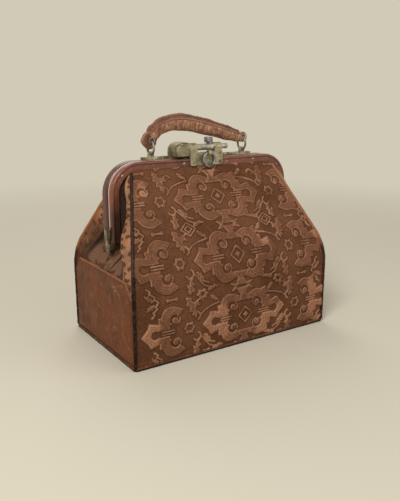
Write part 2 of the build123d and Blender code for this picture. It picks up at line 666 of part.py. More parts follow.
def handle_bar():
    """The brass bar on the back jaw, with a pad and an ear for a ring at each end."""
    pad = RectangleRounded(BAR_PAD_LENGTH, BAR_PAD_WIDTH, BAR_PAD_ROUND)
    outline = Rectangle(BAR_LENGTH - BAR_PAD_LENGTH, BAR_WIDTH)
    for side in (-1, 1):
        outline += Pos(side * (BAR_LENGTH - BAR_PAD_LENGTH) / 2, 0) * pad
    bar = extrude(Pos(0, BAR_Y, FRAME_HEIGHT) * outline, amount=BAR_THICKNESS)
    ear = Circle(EAR_RADIUS) + Pos(0, -EAR_RADIUS / 2) * Rectangle(2 * EAR_RADIUS, EAR_RADIUS)
    ear -= Circle(EAR_HOLE_RADIUS)
    ear &= Pos(0, BAR_THICKNESS) * Rectangle(2 * EAR_RADIUS, 2 * (BAR_THICKNESS + EAR_HOLE_RISE))
    for side in (-1, 1):
        place = (side * RING_SPACING / 2, BAR_Y, BAR_TOP + EAR_HOLE_RISE)
        ear_plane = Plane(place, x_dir=(1, 0, 0), z_dir=(0, -1, 0))
        bar += extrude(ear_plane * ear, amount=EAR_THICKNESS / 2, both=True)
    sink = screw_head(SCREW_RADIUS + PIN_CLEARANCE, SCREW_HEAD_HEIGHT)
    for side, hole in zip((-1, 1), screw_holes()):
        bar -= Pos(side * SCREW_SPACING / 2, BAR_Y, BAR_TOP) * sink
        bar -= hole
    return bar


def handle_bar_screws():
    """Two slotted screws."""
    shank = Cylinder(SCREW_SHANK_RADIUS, SCREW_LENGTH, align=(Align.CENTER, Align.CENTER, Align.MAX))
    slot = Box(2 * SCREW_RADIUS, SCREW_SLOT_WIDTH, 2 * SCREW_SLOT_DEPTH)
    screw = screw_head(SCREW_RADIUS, SCREW_HEAD_HEIGHT) + shank - slot
    return [Pos(side * SCREW_SPACING / 2, BAR_Y, BAR_TOP) * screw for side in (-1, 1)]


def bolt_socket():
    """The brass housing on the bar that the bolt slides into: a square hole, and a round closed end."""
    front = KEEPER_FRONT - CLASP_THICKNESS
    back = BAR_Y + BAR_WIDTH / 2
    right = -CLASP_LENGTH / 2 - SOCKET_GAP
    block = Box(SOCKET_LENGTH, back - front, SOCKET_HEIGHT, align=(Align.MAX, Align.MIN, Align.MIN))
    block = Pos(right, front, BAR_TOP) * block
    left_top = block.edges().filter_by(Axis.Y).group_by(Axis.Z)[-1].sort_by(Axis.X)[0]
    block = fillet(left_top, SOCKET_ROUND)
    block = fillet(block.faces().sort_by(Axis.Y)[0].edges().group_by(Axis.Z)[-1], SOCKET_EDGE)
    bore = Box(SOCKET_BORE_SIDE, SOCKET_BORE_SIDE, 2 * SOCKET_BORE_DEPTH)
    return block - Plane((right, BOLT_Y, BOLT_Z), z_dir=(1, 0, 0)) * bore


# Lock on the front jaw
def clasp_plate():
    """The brass plate on the front of the jaw, with the lug of the pull ring."""
    height = CLASP_DROP + CLASP_RISE
    outline = Pos(0, (CLASP_RISE - CLASP_DROP) / 2) * RectangleRounded(CLASP_LENGTH, height, CLASP_CORNER)
    plane = Plane((0, -FRONT_JAW_DEPTH, FRAME_HEIGHT), x_dir=(1, 0, 0), z_dir=(0, -1, 0))
    plate = extrude(plane * outline, amount=CLASP_THICKNESS)
    plate = fillet(plate.faces().sort_by(Axis.Y)[0].edges(), CLASP_EDGE)
    hole = Cylinder(RIVET_SHANK_RADIUS + PIN_CLEARANCE, 2 * OVERRUN)
    for cut in on_front(hole, clasp_rivet_places(), -FRONT_JAW_DEPTH):
        plate -= cut
    web = Rectangle(PULL_STAND_OFF, 2 * LUG_RADIUS, align=(Align.MAX, Align.CENTER))
    lug = Circle(LUG_RADIUS) + web.mirror(Plane.YZ) - Circle(LUG_HOLE_RADIUS)
    lug_plane = Plane((PULL_OFFSET, pull_y(), pull_z()), x_dir=(0, 1, 0), z_dir=(1, 0, 0))
    return plate + extrude(lug_plane * lug, amount=LUG_LENGTH / 2, both=True)


def pull_y():
    """Depth of the pull ring's pivot."""
    return -FRONT_JAW_DEPTH - CLASP_THICKNESS - PULL_STAND_OFF


def pull_z():
    """Height of the pull ring's pivot."""
    return FRAME_HEIGHT + PULL_PIVOT_RISE


def pull_ring():
    """The ring that hangs in the lug."""
    plane = Plane((PULL_OFFSET, pull_y(), pull_z() - PULL_RADIUS), z_dir=(0, -1, 0))
    return plane * Torus(PULL_RADIUS, PULL_WIRE_RADIUS)


def bolt_keeper():
    """The right keeper: an upright with a round top, bored for the bolt."""
    half = KEEPER_DEPTH / 2
    leg = KEEPER_HEIGHT - half
    outline = Circle(half) + Pos(0, -leg / 2) * Rectangle(KEEPER_DEPTH, leg)
    outline -= Circle(BOLT_RADIUS + BOLT_CLEARANCE)
    plane = Plane((CLASP_LENGTH / 2, BOLT_Y, BOLT_Z), x_dir=(0, 1, 0), z_dir=(1, 0, 0))
    keeper = extrude(plane * outline, amount=-KEEPER_LENGTH)
    rims = []
    for face in keeper.faces().filter_by(Axis.X):
        rims += face.outer_wire().edges().sort_by(Axis.Z)[1:]
    return fillet(rims, KEEPER_EDGE)


def clasp_rivets():
    """Two rivets through the clasp plate."""
    length = CLASP_THICKNESS + BAND_RECESS + RIVET_SHANK_LENGTH
    piece = rivet(CLASP_RIVET_RADIUS, RIVET_RISE, RIVET_SHANK_RADIUS, length)
    return on_front(piece, clasp_rivet_places(), -FRONT_JAW_DEPTH - CLASP_THICKNESS)


def lock_bolt():
    """The round steel bolt, chamfered at its nose and thinner past the right keeper."""
    start = -CLASP_LENGTH / 2 - BOLT_NOSE_GAP
    length = CLASP_LENGTH / 2 - start
    bar = Cylinder(BOLT_RADIUS, length, align=(Align.CENTER, Align.CENTER, Align.MIN))
    bar = chamfer(bar.edges().group_by(Axis.Z)[0], BOLT_EDGE)
    stub = Cylinder(BOLT_STUB_RADIUS, BOLT_STUB_LENGTH, align=(Align.CENTER, Align.CENTER, Align.MIN))
    stub = chamfer(stub.edges().group_by(Axis.Z)[-1], BOLT_EDGE)
    bolt = Plane((start, BOLT_Y, BOLT_Z), z_dir=(1, 0, 0)) * (bar + Pos(0, 0, length) * stub)
    stem = Cylinder(KNOB_NECK_RADIUS + PIN_CLEARANCE, 2 * KNOB_STEM_DEPTH)
    return bolt - Pos(KNOB_OFFSET, BOLT_Y, BOLT_Z + BOLT_RADIUS) * stem


def bolt_knob():
    """The turned knob that moves the bolt, its stem let into it."""
    neck_length = KNOB_STEM_DEPTH - PIN_CLEARANCE + KNOB_NECK_HEIGHT
    neck = Cylinder(KNOB_NECK_RADIUS, neck_length, align=(Align.CENTER, Align.CENTER, Align.MAX))
    head = Cylinder(KNOB_RADIUS, KNOB_HEIGHT, align=(Align.CENTER, Align.CENTER, Align.MIN))
    head = fillet(head.edges().filter_by(GeomType.CIRCLE), KNOB_EDGE)
    return Pos(KNOB_OFFSET, BOLT_Y, BOLT_Z + BOLT_RADIUS + KNOB_NECK_HEIGHT) * (head + neck)


# Handle
def handle_ring():
    """The right ring, through the ear of the bar and the eyelet of the handle."""
    plane = Plane((RING_SPACING / 2, BAR_Y, RING_Z), z_dir=(1, 0, 0))
    return plane * Torus(RING_RADIUS, RING_WIRE_RADIUS)


def tab(side):
    """A flat round end of the handle about its eyelet; the left one is drawn out into a tongue."""
    outline = Circle(TAB_RADIUS)
    if side < 0:
        tongue = Pos(0, -TONGUE_DROP) * Circle(TONGUE_RADIUS)
        outline = make_hull(outline.edges() + tongue.edges())
    plane = Plane((side * RING_SPACING / 2, BAR_Y, EYELET_Z), x_dir=(1, 0, 0), z_dir=(0, -1, 0))
    return extrude(plane * outline, amount=TAB_THICKNESS / 2, both=True)


def handle_grip():
    """The rolled leather grip, arched more on its left, flat at its two ends."""
    half = RING_SPACING / 2
    centres = [(p * half, EYELET_Z + r * HANDLE_RISE) for p, r in zip(GRIP_PLACE_SHARES, GRIP_RISE_SHARES)]
    sections = []
    for i, (x, z) in enumerate(centres):
        ahead = centres[min(i + 1, len(centres) - 1)]
        behind = centres[max(i - 1, 0)]
        along = (ahead[0] - behind[0], 0, ahead[1] - behind[1])
        plane = Plane((x, BAR_Y, z), x_dir=(0, 1, 0), z_dir=along)
        depth = GRIP_DEPTH_SHARES[i] * HANDLE_DEPTH
        thickness = GRIP_THICK_SHARES[i] * HANDLE_THICKNESS
        sections.append(plane * Ellipse(depth / 2, thickness / 2))
    grip = loft(sections)
    for side in (-1, 1):
        grip += tab(side)
    bore = Cylinder(EYELET_HOLE_RADIUS + EYELET_WALL + PIN_CLEARANCE, HANDLE_DEPTH)
    seat = Cylinder(EYELET_FLANGE_RADIUS + PIN_CLEARANCE, HANDLE_DEPTH)
    shift = (TAB_THICKNESS + HANDLE_DEPTH) / 2
    for side in (-1, 1):
        eye = Plane((side * half, BAR_Y, EYELET_Z), z_dir=(0, -1, 0))
        for cut in (bore, Pos(0, 0, shift) * seat, Pos(0, 0, -shift) * seat):
            grip -= eye * cut
    return grip


def handle_eyelet():
    """The right eyelet: a tube with a flange on each face of the tab."""
    outer = EYELET_HOLE_RADIUS + EYELET_WALL
    length = TAB_THICKNESS + 2 * PIN_CLEARANCE
    eyelet = Cylinder(outer, length + 2 * EYELET_FLANGE_THICKNESS)
    for side in (-1, 1):
        flange = Cylinder(EYELET_FLANGE_RADIUS, EYELET_FLANGE_THICKNESS)
        eyelet += Pos(0, 0, side * (length + EYELET_FLANGE_THICKNESS) / 2) * flange
    eyelet -= Cylinder(EYELET_HOLE_RADIUS, 2 * length)
    return Plane((RING_SPACING / 2, BAR_Y, EYELET_Z), z_dir=(0, -1, 0)) * eyelet


def build_nodes():
    """Every node of the satchel by name."""
    nodes = {
        "base_panel": base_panel(),
        "base_board": base_board(),
        "base_piping": base_piping(),
        "front_panel": front_of(carpet_wall(FRONT_MOUTH)),
        "back_panel": carpet_wall(BACK_MOUTH),
        "front_board": front_of(long_board()),
        "back_board": long_board(),
        "front_right_piping": front_of(corner_piping(FRONT_MOUTH)),
        "back_right_piping": corner_piping(BACK_MOUTH),
        "right_gusset": gusset(),
        "right_side_patch": side_patch(),
        "right_board": end_board(),
        "right_hinge_pin": hinge_pin(),
        "front_jaw_bow": front_jaw_bow(),
        "front_jaw_cover": front_jaw_cover(),
        "back_jaw_bow": back_jaw_bow(),
        "back_jaw_cover": back_jaw_cover(),
        "right_front_hinge_leaf": hinge_leaf(-FRONT_TONGUE_LEAN, HALF_FRAME),
        "right_back_hinge_leaf": hinge_leaf(BACK_TONGUE_LEAN, BACK_HALF_FRAME),
        "clasp_plate": clasp_plate(),
        "right_bolt_keeper": bolt_keeper(),
        "lock_bolt": lock_bolt(),
        "bolt_knob": bolt_knob(),
        "pull_ring": pull_ring(),
        "handle_bar": handle_bar(),
        "bolt_socket": bolt_socket(),
        "right_handle_ring": handle_ring(),
        "right_handle_eyelet": handle_eyelet(),
        "handle_grip": handle_grip(),
    }
    for name in [n for n in nodes if "right_" in n]:
        nodes[name.replace("right_", "left_")] = left_of(nodes[name])
    jaw_rivet = rivet(RIVET_RADIUS, RIVET_RISE, RIVET_SHANK_RADIUS, RIVET_SHANK_LENGTH)
    front_tip = hinge_rivet(-FRONT_TONGUE_LEAN, HALF_FRAME)
    back_tip = hinge_rivet(BACK_TONGUE_LEAN, BACK_HALF_FRAME)
    groups = {
        "front_jaw_rivets": on_front(jaw_rivet, jaw_rivet_places(), BAND_RECESS - FRONT_JAW_DEPTH),
        "front_hinge_rivets": [front_tip, left_of(front_tip)],
        "back_hinge_rivets": [back_tip, left_of(back_tip)],
        "clasp_rivets": clasp_rivets(),
        "handle_bar_screws": handle_bar_screws(),
    }
    for name, members in groups.items():
        nodes[name] = Compound(children=[solid for member in members for solid in member.solids()])
    return nodes


os.makedirs("parts", exist_ok=True)
for node_name, shape in build_nodes().items():
    export_step(shape, os.path.join("parts", node_name + ".step"))
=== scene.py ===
import math

import bpy
import numpy as np
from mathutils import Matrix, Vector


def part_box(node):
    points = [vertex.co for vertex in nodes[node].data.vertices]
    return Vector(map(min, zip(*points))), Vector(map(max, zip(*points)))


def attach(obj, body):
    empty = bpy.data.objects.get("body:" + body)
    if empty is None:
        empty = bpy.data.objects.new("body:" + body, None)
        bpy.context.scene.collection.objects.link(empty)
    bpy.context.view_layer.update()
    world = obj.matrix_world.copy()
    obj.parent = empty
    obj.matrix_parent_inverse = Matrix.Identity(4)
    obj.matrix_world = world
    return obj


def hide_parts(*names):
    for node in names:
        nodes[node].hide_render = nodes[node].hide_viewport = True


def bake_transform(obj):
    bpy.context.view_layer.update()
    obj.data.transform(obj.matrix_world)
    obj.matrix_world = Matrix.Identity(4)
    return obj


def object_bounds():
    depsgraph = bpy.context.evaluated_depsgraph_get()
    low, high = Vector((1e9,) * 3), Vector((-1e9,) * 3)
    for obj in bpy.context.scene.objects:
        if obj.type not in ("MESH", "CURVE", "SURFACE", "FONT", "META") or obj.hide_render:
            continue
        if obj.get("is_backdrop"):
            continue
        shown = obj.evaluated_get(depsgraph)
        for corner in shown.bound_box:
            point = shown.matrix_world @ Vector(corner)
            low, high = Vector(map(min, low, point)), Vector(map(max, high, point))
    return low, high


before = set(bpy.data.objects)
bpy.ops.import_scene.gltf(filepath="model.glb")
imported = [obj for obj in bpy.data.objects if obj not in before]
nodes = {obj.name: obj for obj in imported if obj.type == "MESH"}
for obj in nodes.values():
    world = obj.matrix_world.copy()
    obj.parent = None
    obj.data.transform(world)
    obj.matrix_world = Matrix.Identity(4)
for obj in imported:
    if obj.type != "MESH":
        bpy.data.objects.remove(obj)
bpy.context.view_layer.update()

# The bottom of the bag: a panel of plain brown hide, and a welt round its seam.
# The welt is a strip of leather sewn round a string, brown above, with painted shade darkening its foot where
# it meets the floor.
# Both keep the shape of the solid model, so only their finish is made here.
MM = 0.001


def paint(code):
    """A colour written as on a paint chart, in the linear values that a shader takes."""
    parts = [int(code[i : i + 2], 16) / 255 for i in (1, 3, 5)]
    return [c / 12.92 if c < 0.04045 else ((c + 0.055) / 1.055) ** 2.4 for c in parts] + [1.0]


class Finish:
    """A material that is mixed step by step; each step gives back the socket that it makes."""

    def __init__(self, name, roughness, **sockets):
        self.material = bpy.data.materials.new(name)
        self.material.use_nodes = True
        self.tree = self.material.node_tree
        self.shader = self.tree.nodes["Principled BSDF"]
        self.shader.inputs["Roughness"].default_value = roughness
        for socket, value in sockets.items():
            self.shader.inputs[socket.replace("_", " ")].default_value = value
        self.place = self.step("ShaderNodeTexCoord").outputs["Object"]

    def step(self, kind, values=None, **settings):
        node = self.tree.nodes.new(kind)
        for name, value in settings.items():
            setattr(node, name, value)
        for socket, value in (values or {}).items():
            if isinstance(value, bpy.types.NodeSocket):
                self.tree.links.new(value, node.inputs[socket])
            else:
                node.inputs[socket].default_value = value
        return node

    def stretched(self, stretch):
        """The place on the piece, stretched so that a texture lies in streaks."""
        return self.step("ShaderNodeMapping", {"Vector": self.place, "Scale": stretch}).outputs[0]

    def noise(self, size, detail=3.0, stretch=None):
        """Clouds whose spots are about that many metres across."""
        place = self.stretched(stretch) if stretch else self.place
        values = {"Vector": place, "Scale": 1 / size, "Detail": detail}
        return self.step("ShaderNodeTexNoise", values).outputs[0]

    def cells(self, size, feature="F1"):
        """Pebbles of about that size in metres."""
        values = {"Vector": self.place, "Scale": 1 / size}
        return self.step("ShaderNodeTexVoronoi", values, feature=feature).outputs["Distance"]

    def between(self, value, low, high):
        """0 below low, 1 above high and a soft step between them."""
        values = {"Value": value, "From Min": low, "From Max": high}
        return self.step("ShaderNodeMapRange", values, interpolation_type="SMOOTHSTEP").outputs[0]

    def reckon(self, operation, first, second):
        return self.step("ShaderNodeMath", {0: first, 1: second}, operation=operation).outputs[0]

    def times(self, first, second):
        return self.reckon("MULTIPLY", first, second)

    def carried(self, name):
        """A value that the mesh carries at each of its points."""
        return self.step("ShaderNodeAttribute", attribute_name=name).outputs["Fac"]

    def mix(self, share, first, second):
        """From the first colour to the second by the share."""
        node = self.step("ShaderNodeMix", data_type="RGBA")
        for socket, value in zip((node.inputs[0], node.inputs[6], node.inputs[7]), (share, first, second)):
            if isinstance(value, bpy.types.NodeSocket):
                self.tree.links.new(value, socket)
            else:
                socket.default_value = paint(value) if isinstance(value, str) else value
        return node.outputs[2]

    def colour(self, socket):
        self.tree.links.new(socket, self.shader.inputs["Base Color"])

    def gloss(self, socket):
        self.tree.links.new(socket, self.shader.inputs["Roughness"])

    def relief(self, *layers):
        """Bumps, each a height and its depth in metres, laid one over the other."""
        below = None
        for height, depth in layers:
            values = {"Height": height, "Distance": depth, "Strength": 1.0}
            if below:
                values["Normal"] = below
            below = self.step("ShaderNodeBump", values).outputs[0]
        self.tree.links.new(below, self.shader.inputs["Normal"])


def leather(name, base, deep, pale, wear_and_highlight, roughness, grain, scuffs, shaded_below=0.0):
    """Hide with a cloudy colour, pebbled grain, pale scuffs above a noise level and fine scratches.

    It is worn where its mesh says so, and below the height given it is darkened with painted shade.
    """
    hide = Finish(name, roughness, Specular_IOR_Level=0.1)
    cloudy = hide.mix(hide.between(hide.noise(0.045, 5.0), 0.36, 0.66), base, deep)
    mottled = hide.mix(hide.between(hide.noise(0.007, 4.0), 0.5, 0.85), cloudy, pale)
    streaks = hide.noise(0.016, 6.0, (1.0, 1.0, 0.22))
    scuffed = hide.mix(hide.between(streaks, scuffs, scuffs + 0.1), mottled, pale)
    line = hide.reckon("ABSOLUTE", hide.reckon("SUBTRACT", hide.noise(0.04, 1.5), 0.5), 0.0)
    scratch = hide.times(hide.between(line, 0.006, 0.001), hide.between(hide.noise(0.021), 0.5, 0.62))
    scratched = hide.mix(hide.times(scratch, 0.55), scuffed, wear_and_highlight)
    worn = hide.mix(hide.carried("wear_and_highlight"), scratched, wear_and_highlight)
    # painted shade: darker below the given height, where the piece meets the floor
    if shaded_below:
        height = hide.step("ShaderNodeSeparateXYZ", {0: hide.place}).outputs[2]
        worn = hide.mix(hide.between(height, 1.3 * shaded_below, 0.8 * shaded_below), worn, FOOT_SHADE)
    hide.colour(worn)
    hide.gloss(hide.between(hide.noise(0.012, 4.0), roughness - 1.2, roughness + 1.2))
    hide.relief((hide.cells(grain), grain * 0.22), (hide.noise(0.011, 4.0), 0.0005))
    return hide.material


def dress(finish, *names):
    """Give model nodes their finish."""
    for name in names:
        nodes[name].data.materials.clear()
        nodes[name].data.materials.append(finish)
        nodes[name].data.shade_smooth()


# The painted shade along the foot of the base welt, and the height below which it lies
FOOT_SHADE = "#1b1210"
FOOT_SHADE_HEIGHT = 2.6 * MM
brown_hide = leather("brown_hide", "#67381d", "#55301a", "#7d4d31", "#a9785a", 0.6, 0.0011, 0.68)
base_welt_hide = leather(
    "base_welt_hide", "#553423", "#3e261b", "#82583d", "#a9785a", 0.65, 0.0009, 0.6, FOOT_SHADE_HEIGHT
)
dress(brown_hide, "base_panel")
dress(base_welt_hide, "base_piping")

# The stiffeners: pasteboards that stand inside the lower walls and lie on the bottom.
# They are pasted over with buff lining cotton, which also lines the walls above them.
# The cotton is a plain weave, a little stained.
THREAD = 0.7 * MM
BANDS_PER_SCALE = 0.314
cotton = Finish("lining_cotton", 0.9, Sheen_Weight=0.15)
aged = cotton.mix(cotton.between(cotton.noise(0.06, 5.0), 0.35, 0.75), "#a58e6c", "#86704f")
weave = {"Vector": cotton.place, "Scale": BANDS_PER_SCALE / THREAD}
warp = cotton.step("ShaderNodeTexWave", weave, bands_direction="DIAGONAL").outputs[1]
cotton.colour(cotton.mix(cotton.times(warp, 0.35), aged, "#6f5b40"))
cotton.relief((warp, 0.0002), (cotton.noise(0.02, 3.0), 0.0006))
lining_cotton = cotton.material
dress(lining_cotton, "base_board", "front_board", "back_board", "left_board", "right_board")

# The two carpet walls: one length of cut-pile carpet each, upright below, bent in to the jaws above.
# Their figure stands up from the ground in rows: medallions in the middle, rosettes at the sides.
# Worn places show the tan backing. A cotton lining lies behind each wall.
welt_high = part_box("base_piping")[1]
WELT_RADIUS = welt_high.z / 2
HALF_LENGTH = welt_high.x - WELT_RADIUS
HALF_DEPTH = welt_high.y - WELT_RADIUS
MOUTH_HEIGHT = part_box("front_panel")[1].z
MOUTH_TUCK = 0.5 * MM
JAW_GRIP = 2.4 * MM
MOUTHS = {-1: -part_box("front_jaw_cover")[0].y - MOUTH_TUCK, 1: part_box("back_jaw_cover")[1].y - MOUTH_TUCK}
SIDE_NAMES = {-1: "front", 1: "back"}
BEND_HEIGHT = 112 * MM
BEND_RUN = 25 * MM
HALF_MOUTH = 108 * MM
WALL_BOTTOM = 2 * WELT_RADIUS
WALL_BULGE = 3.0 * MM
PILE_RISE = 1.5 * MM
WALL_COLUMNS = 281
WALL_ROWS = 237
LINING_DEPTH = 2.3 * MM
LINING_SPACING = 4
BOARD_DEPTH = 5.8 * MM
BOARD_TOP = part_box("front_board")[1].z
BOARD_EASE = 8 * MM
SEAM_SAMPLES = 800
WALL_SAMPLES = 900


def ease(low, high, value):
    """0 below low, 1 above high and a smooth step between."""
    share = np.clip((value - low) / (high - low), 0, 1)
    return share * share * (3 - 2 * share)


def piece(name, points, faces, *finishes):
    """A smooth mesh piece."""
    mesh = bpy.data.meshes.new(name)
    mesh.from_pydata(np.reshape(points, (-1, 3)).tolist(), [], faces)
    mesh.shade_smooth()
    for finish in finishes:
        mesh.materials.append(finish)
    made = bpy.data.objects.new(name, mesh)
    bpy.context.scene.collection.objects.link(made)
    return made


def grid(down, across):
    """Every pair of two runs of values, as rows and columns."""
    return np.meshgrid(down, across, indexing="ij")


def net(rows, columns, turn=False, closed=False):
    """Faces of a sheet of points in rows and columns; a closed one joins its last column to its first."""
    row, column = grid(np.arange(rows - 1), np.arange(columns if closed else columns - 1))
    here = row * columns + column
    beside = row * columns + (column + 1) % columns
    corners = [here, beside, beside + columns, here + columns]
    return np.stack(corners[::-1] if turn else corners, -1).reshape(-1, 4).tolist()


def carry(made, name, values):
    """Let a mesh carry a value at each point, for its finish."""
    attribute = made.data.attributes.new(name, "FLOAT", "POINT")
    attribute.data.foreach_set("value", np.ravel(values).astype(np.float32))


def bent_line(run, along):
    """Height and distance moved in at a length along a line that bends in over the run, and its slope."""
    slope = math.atan2(run, MOUTH_HEIGHT - BEND_HEIGHT)
    radius = BEND_RUN / math.tan(slope / 2)
    straight = BEND_HEIGHT - BEND_RUN
    turned = np.clip((along - straight) / radius, 0, slope)
    beyond = np.maximum(along - straight - radius * slope, 0)
    height = np.minimum(along, straight) + radius * np.sin(turned) + beyond * math.cos(slope)
    moved = radius * (1 - np.cos(turned)) + beyond * math.sin(slope)
    return height, moved, turned


def seam_at(height, side):
    """Where the corner seam is at a height, as distances out from the middle in length and depth."""
    run_x = HALF_LENGTH - HALF_MOUTH
    run_y = HALF_DEPTH - MOUTHS[side]
    run = math.hypot(run_x, run_y)
    heights, moved = bent_line(run, np.linspace(0, 2 * MOUTH_HEIGHT, SEAM_SAMPLES))[:2]
    shift = np.interp(height, heights, moved) / run
    return HALF_LENGTH - shift * run_x, HALF_DEPTH - shift * run_y


def bar(x, y, first, last, width):
    """Distance to the edge of a straight stroke with round ends; below zero is inside."""
    dx, dy = last[0] - first[0], last[1] - first[1]
    share = np.clip(((x - first[0]) * dx + (y - first[1]) * dy) / (dx * dx + dy * dy), 0, 1)
    return np.hypot(x - first[0] - share * dx, y - first[1] - share * dy) - width / 2


def stroke(x, y, points, width):
    """Distance to the edge of a stroke through points."""
    return np.minimum.reduce([bar(x, y, a, b, width) for a, b in zip(points, points[1:])])


def hook(x, y, centre, radius, width, start, sweep):
    """Distance to the edge of a round band with round ends, from an angle in degrees."""
    angle = np.degrees(np.arctan2(y - centre[1], x - centre[0])) - start
    near = np.radians(start + np.clip((angle + 180 - sweep / 2) % 360 - 180 + sweep / 2, 0, sweep))
    end_x = centre[0] + radius * np.cos(near)
    end_y = centre[1] + radius * np.sin(near)
    return np.hypot(x - end_x, y - end_y) - width / 2


def field(x, y, corners):
    """Distance to the edge of a field with straight sides."""
    distance = np.full(np.shape(x), 1e9)
    inside = np.zeros(np.shape(x), bool)
    for (ax, ay), (bx, by) in zip(corners, corners[1:] + corners[:1]):
        distance = np.minimum(distance, bar(x, y, (ax, ay), (bx, by), 0))
        crosses = (ay > y) != (by > y)
        rise = by - ay if by != ay else 1e-9
        inside ^= crosses & (x < (bx - ax) * (y - ay) / rise + ax)
    return np.where(inside, -distance, distance)


def star(x, y, points, radius, waist):
    """Distance to the edge of a star."""
    reach = [radius, radius * waist] * points
    turns = [math.pi * i / points for i in range(2 * points)]
    return field(x, y, [(r * math.cos(a), r * math.sin(a)) for r, a in zip(reach, turns)])


def from_root(x, y, root, angle, scale):
    """Places measured from a root, turned by an angle in degrees and scaled."""
    c, s = math.cos(math.radians(angle)) / scale, math.sin(math.radians(angle)) / scale
    return (x - root[0]) * c + (y - root[1]) * s, (y - root[1]) * c - (x - root[0]) * s


# Outlines of the figure in millimetres, from the root of a leaf and from the middle of a medallion
LEAF = [(0, -1.4), (4, -4), (5, -1.8), (9, -4.6), (10.5, -1.6), (17, -1.4), (21, 4), (14.5, 2.2), (12.5, 6)]
LEAF += [(9, 2.4), (6, 5), (4, 1.8), (0, 1.4)]
WING = [(27, -1), (27, 6), (33, 12), (37, 20), (41, 20), (41, 12), (53, 15.5), (56, 9), (66, -1)]
HORN = [(26, 30), (37, 33.5), (37, 22)]
STEM = [(-1, 20), (11, 20), (5.5, 25), (4.2, 31), (4.2, 41), (-1, 41)]
CROSS = [(-1, 7), (5, 9.5), (8, 4), (18, 6), (12, 0), (-1, -1)]
BALL_OUT = 19.0
BALL_UP = 13.5
BALL_RADIUS = 4.0
BALL_RING = 7.6
PLATE_OUT = 21.0
PLATE_UP = 16.0
PLATE_RADIUS = 16.0
PLATE_TURN = 52
PLATE_SWEEP = 86
CURL_START = 95
CURL_SWEEP = 110
FAR = 9.0


def leaf(x, y, root, angle, scale=1.0):
    """Distance to the edge of a toothed leaf that grows from its root."""
    return field(*from_root(x, y, root, angle, scale), LEAF) * scale


def half_medallion(out, up, horned):
    """Beside the middle of a medallion: curved plates with flared ends round balls, and a slotted wing."""
    from_ball = np.hypot(out - BALL_OUT, up - BALL_UP)
    plate = np.hypot(out - PLATE_OUT, up - PLATE_UP) - PLATE_RADIUS
    plate = np.where(horned, np.minimum(plate, field(out, up, HORN)), plate)
    around = (np.degrees(np.arctan2(up - BALL_UP, out - BALL_OUT)) - PLATE_TURN) % 360
    away = np.minimum(around, 360 - around)
    flare = 2.2 * ease(58, PLATE_SWEEP, away)
    ends = np.radians(away - PLATE_SWEEP) * from_ball
    broad = np.maximum.reduce([plate - flare, BALL_RING - flare - from_ball, ends])
    closing = (around - CURL_START) / CURL_SWEEP
    tail = np.abs(from_ball - BALL_RING + 3.4 * closing) - 1.0
    curl = np.where((closing > 0) & (closing < 1), tail, FAR)
    slot = np.minimum(bar(out, up, (29, 0), (47, 0), 8.6), np.hypot(out - 47, up) - 5.6)
    wing = np.maximum(field(out, up, WING), -slot)
    reed = bar(out, up, (21, 1.7), (38, 1.7), 1.5)
    return np.minimum.reduce([from_ball - BALL_RADIUS, curl, broad, wing, reed])


ROW_REPEAT = 79.5
FIRST_ROW = 39.5
ROW_SHIFT = 10.0
ROSETTE_OUT = 84.0
LOZENGE_OUT = 59.0
BONE_OUT = 101.0
EDGE_OUT = 126.0


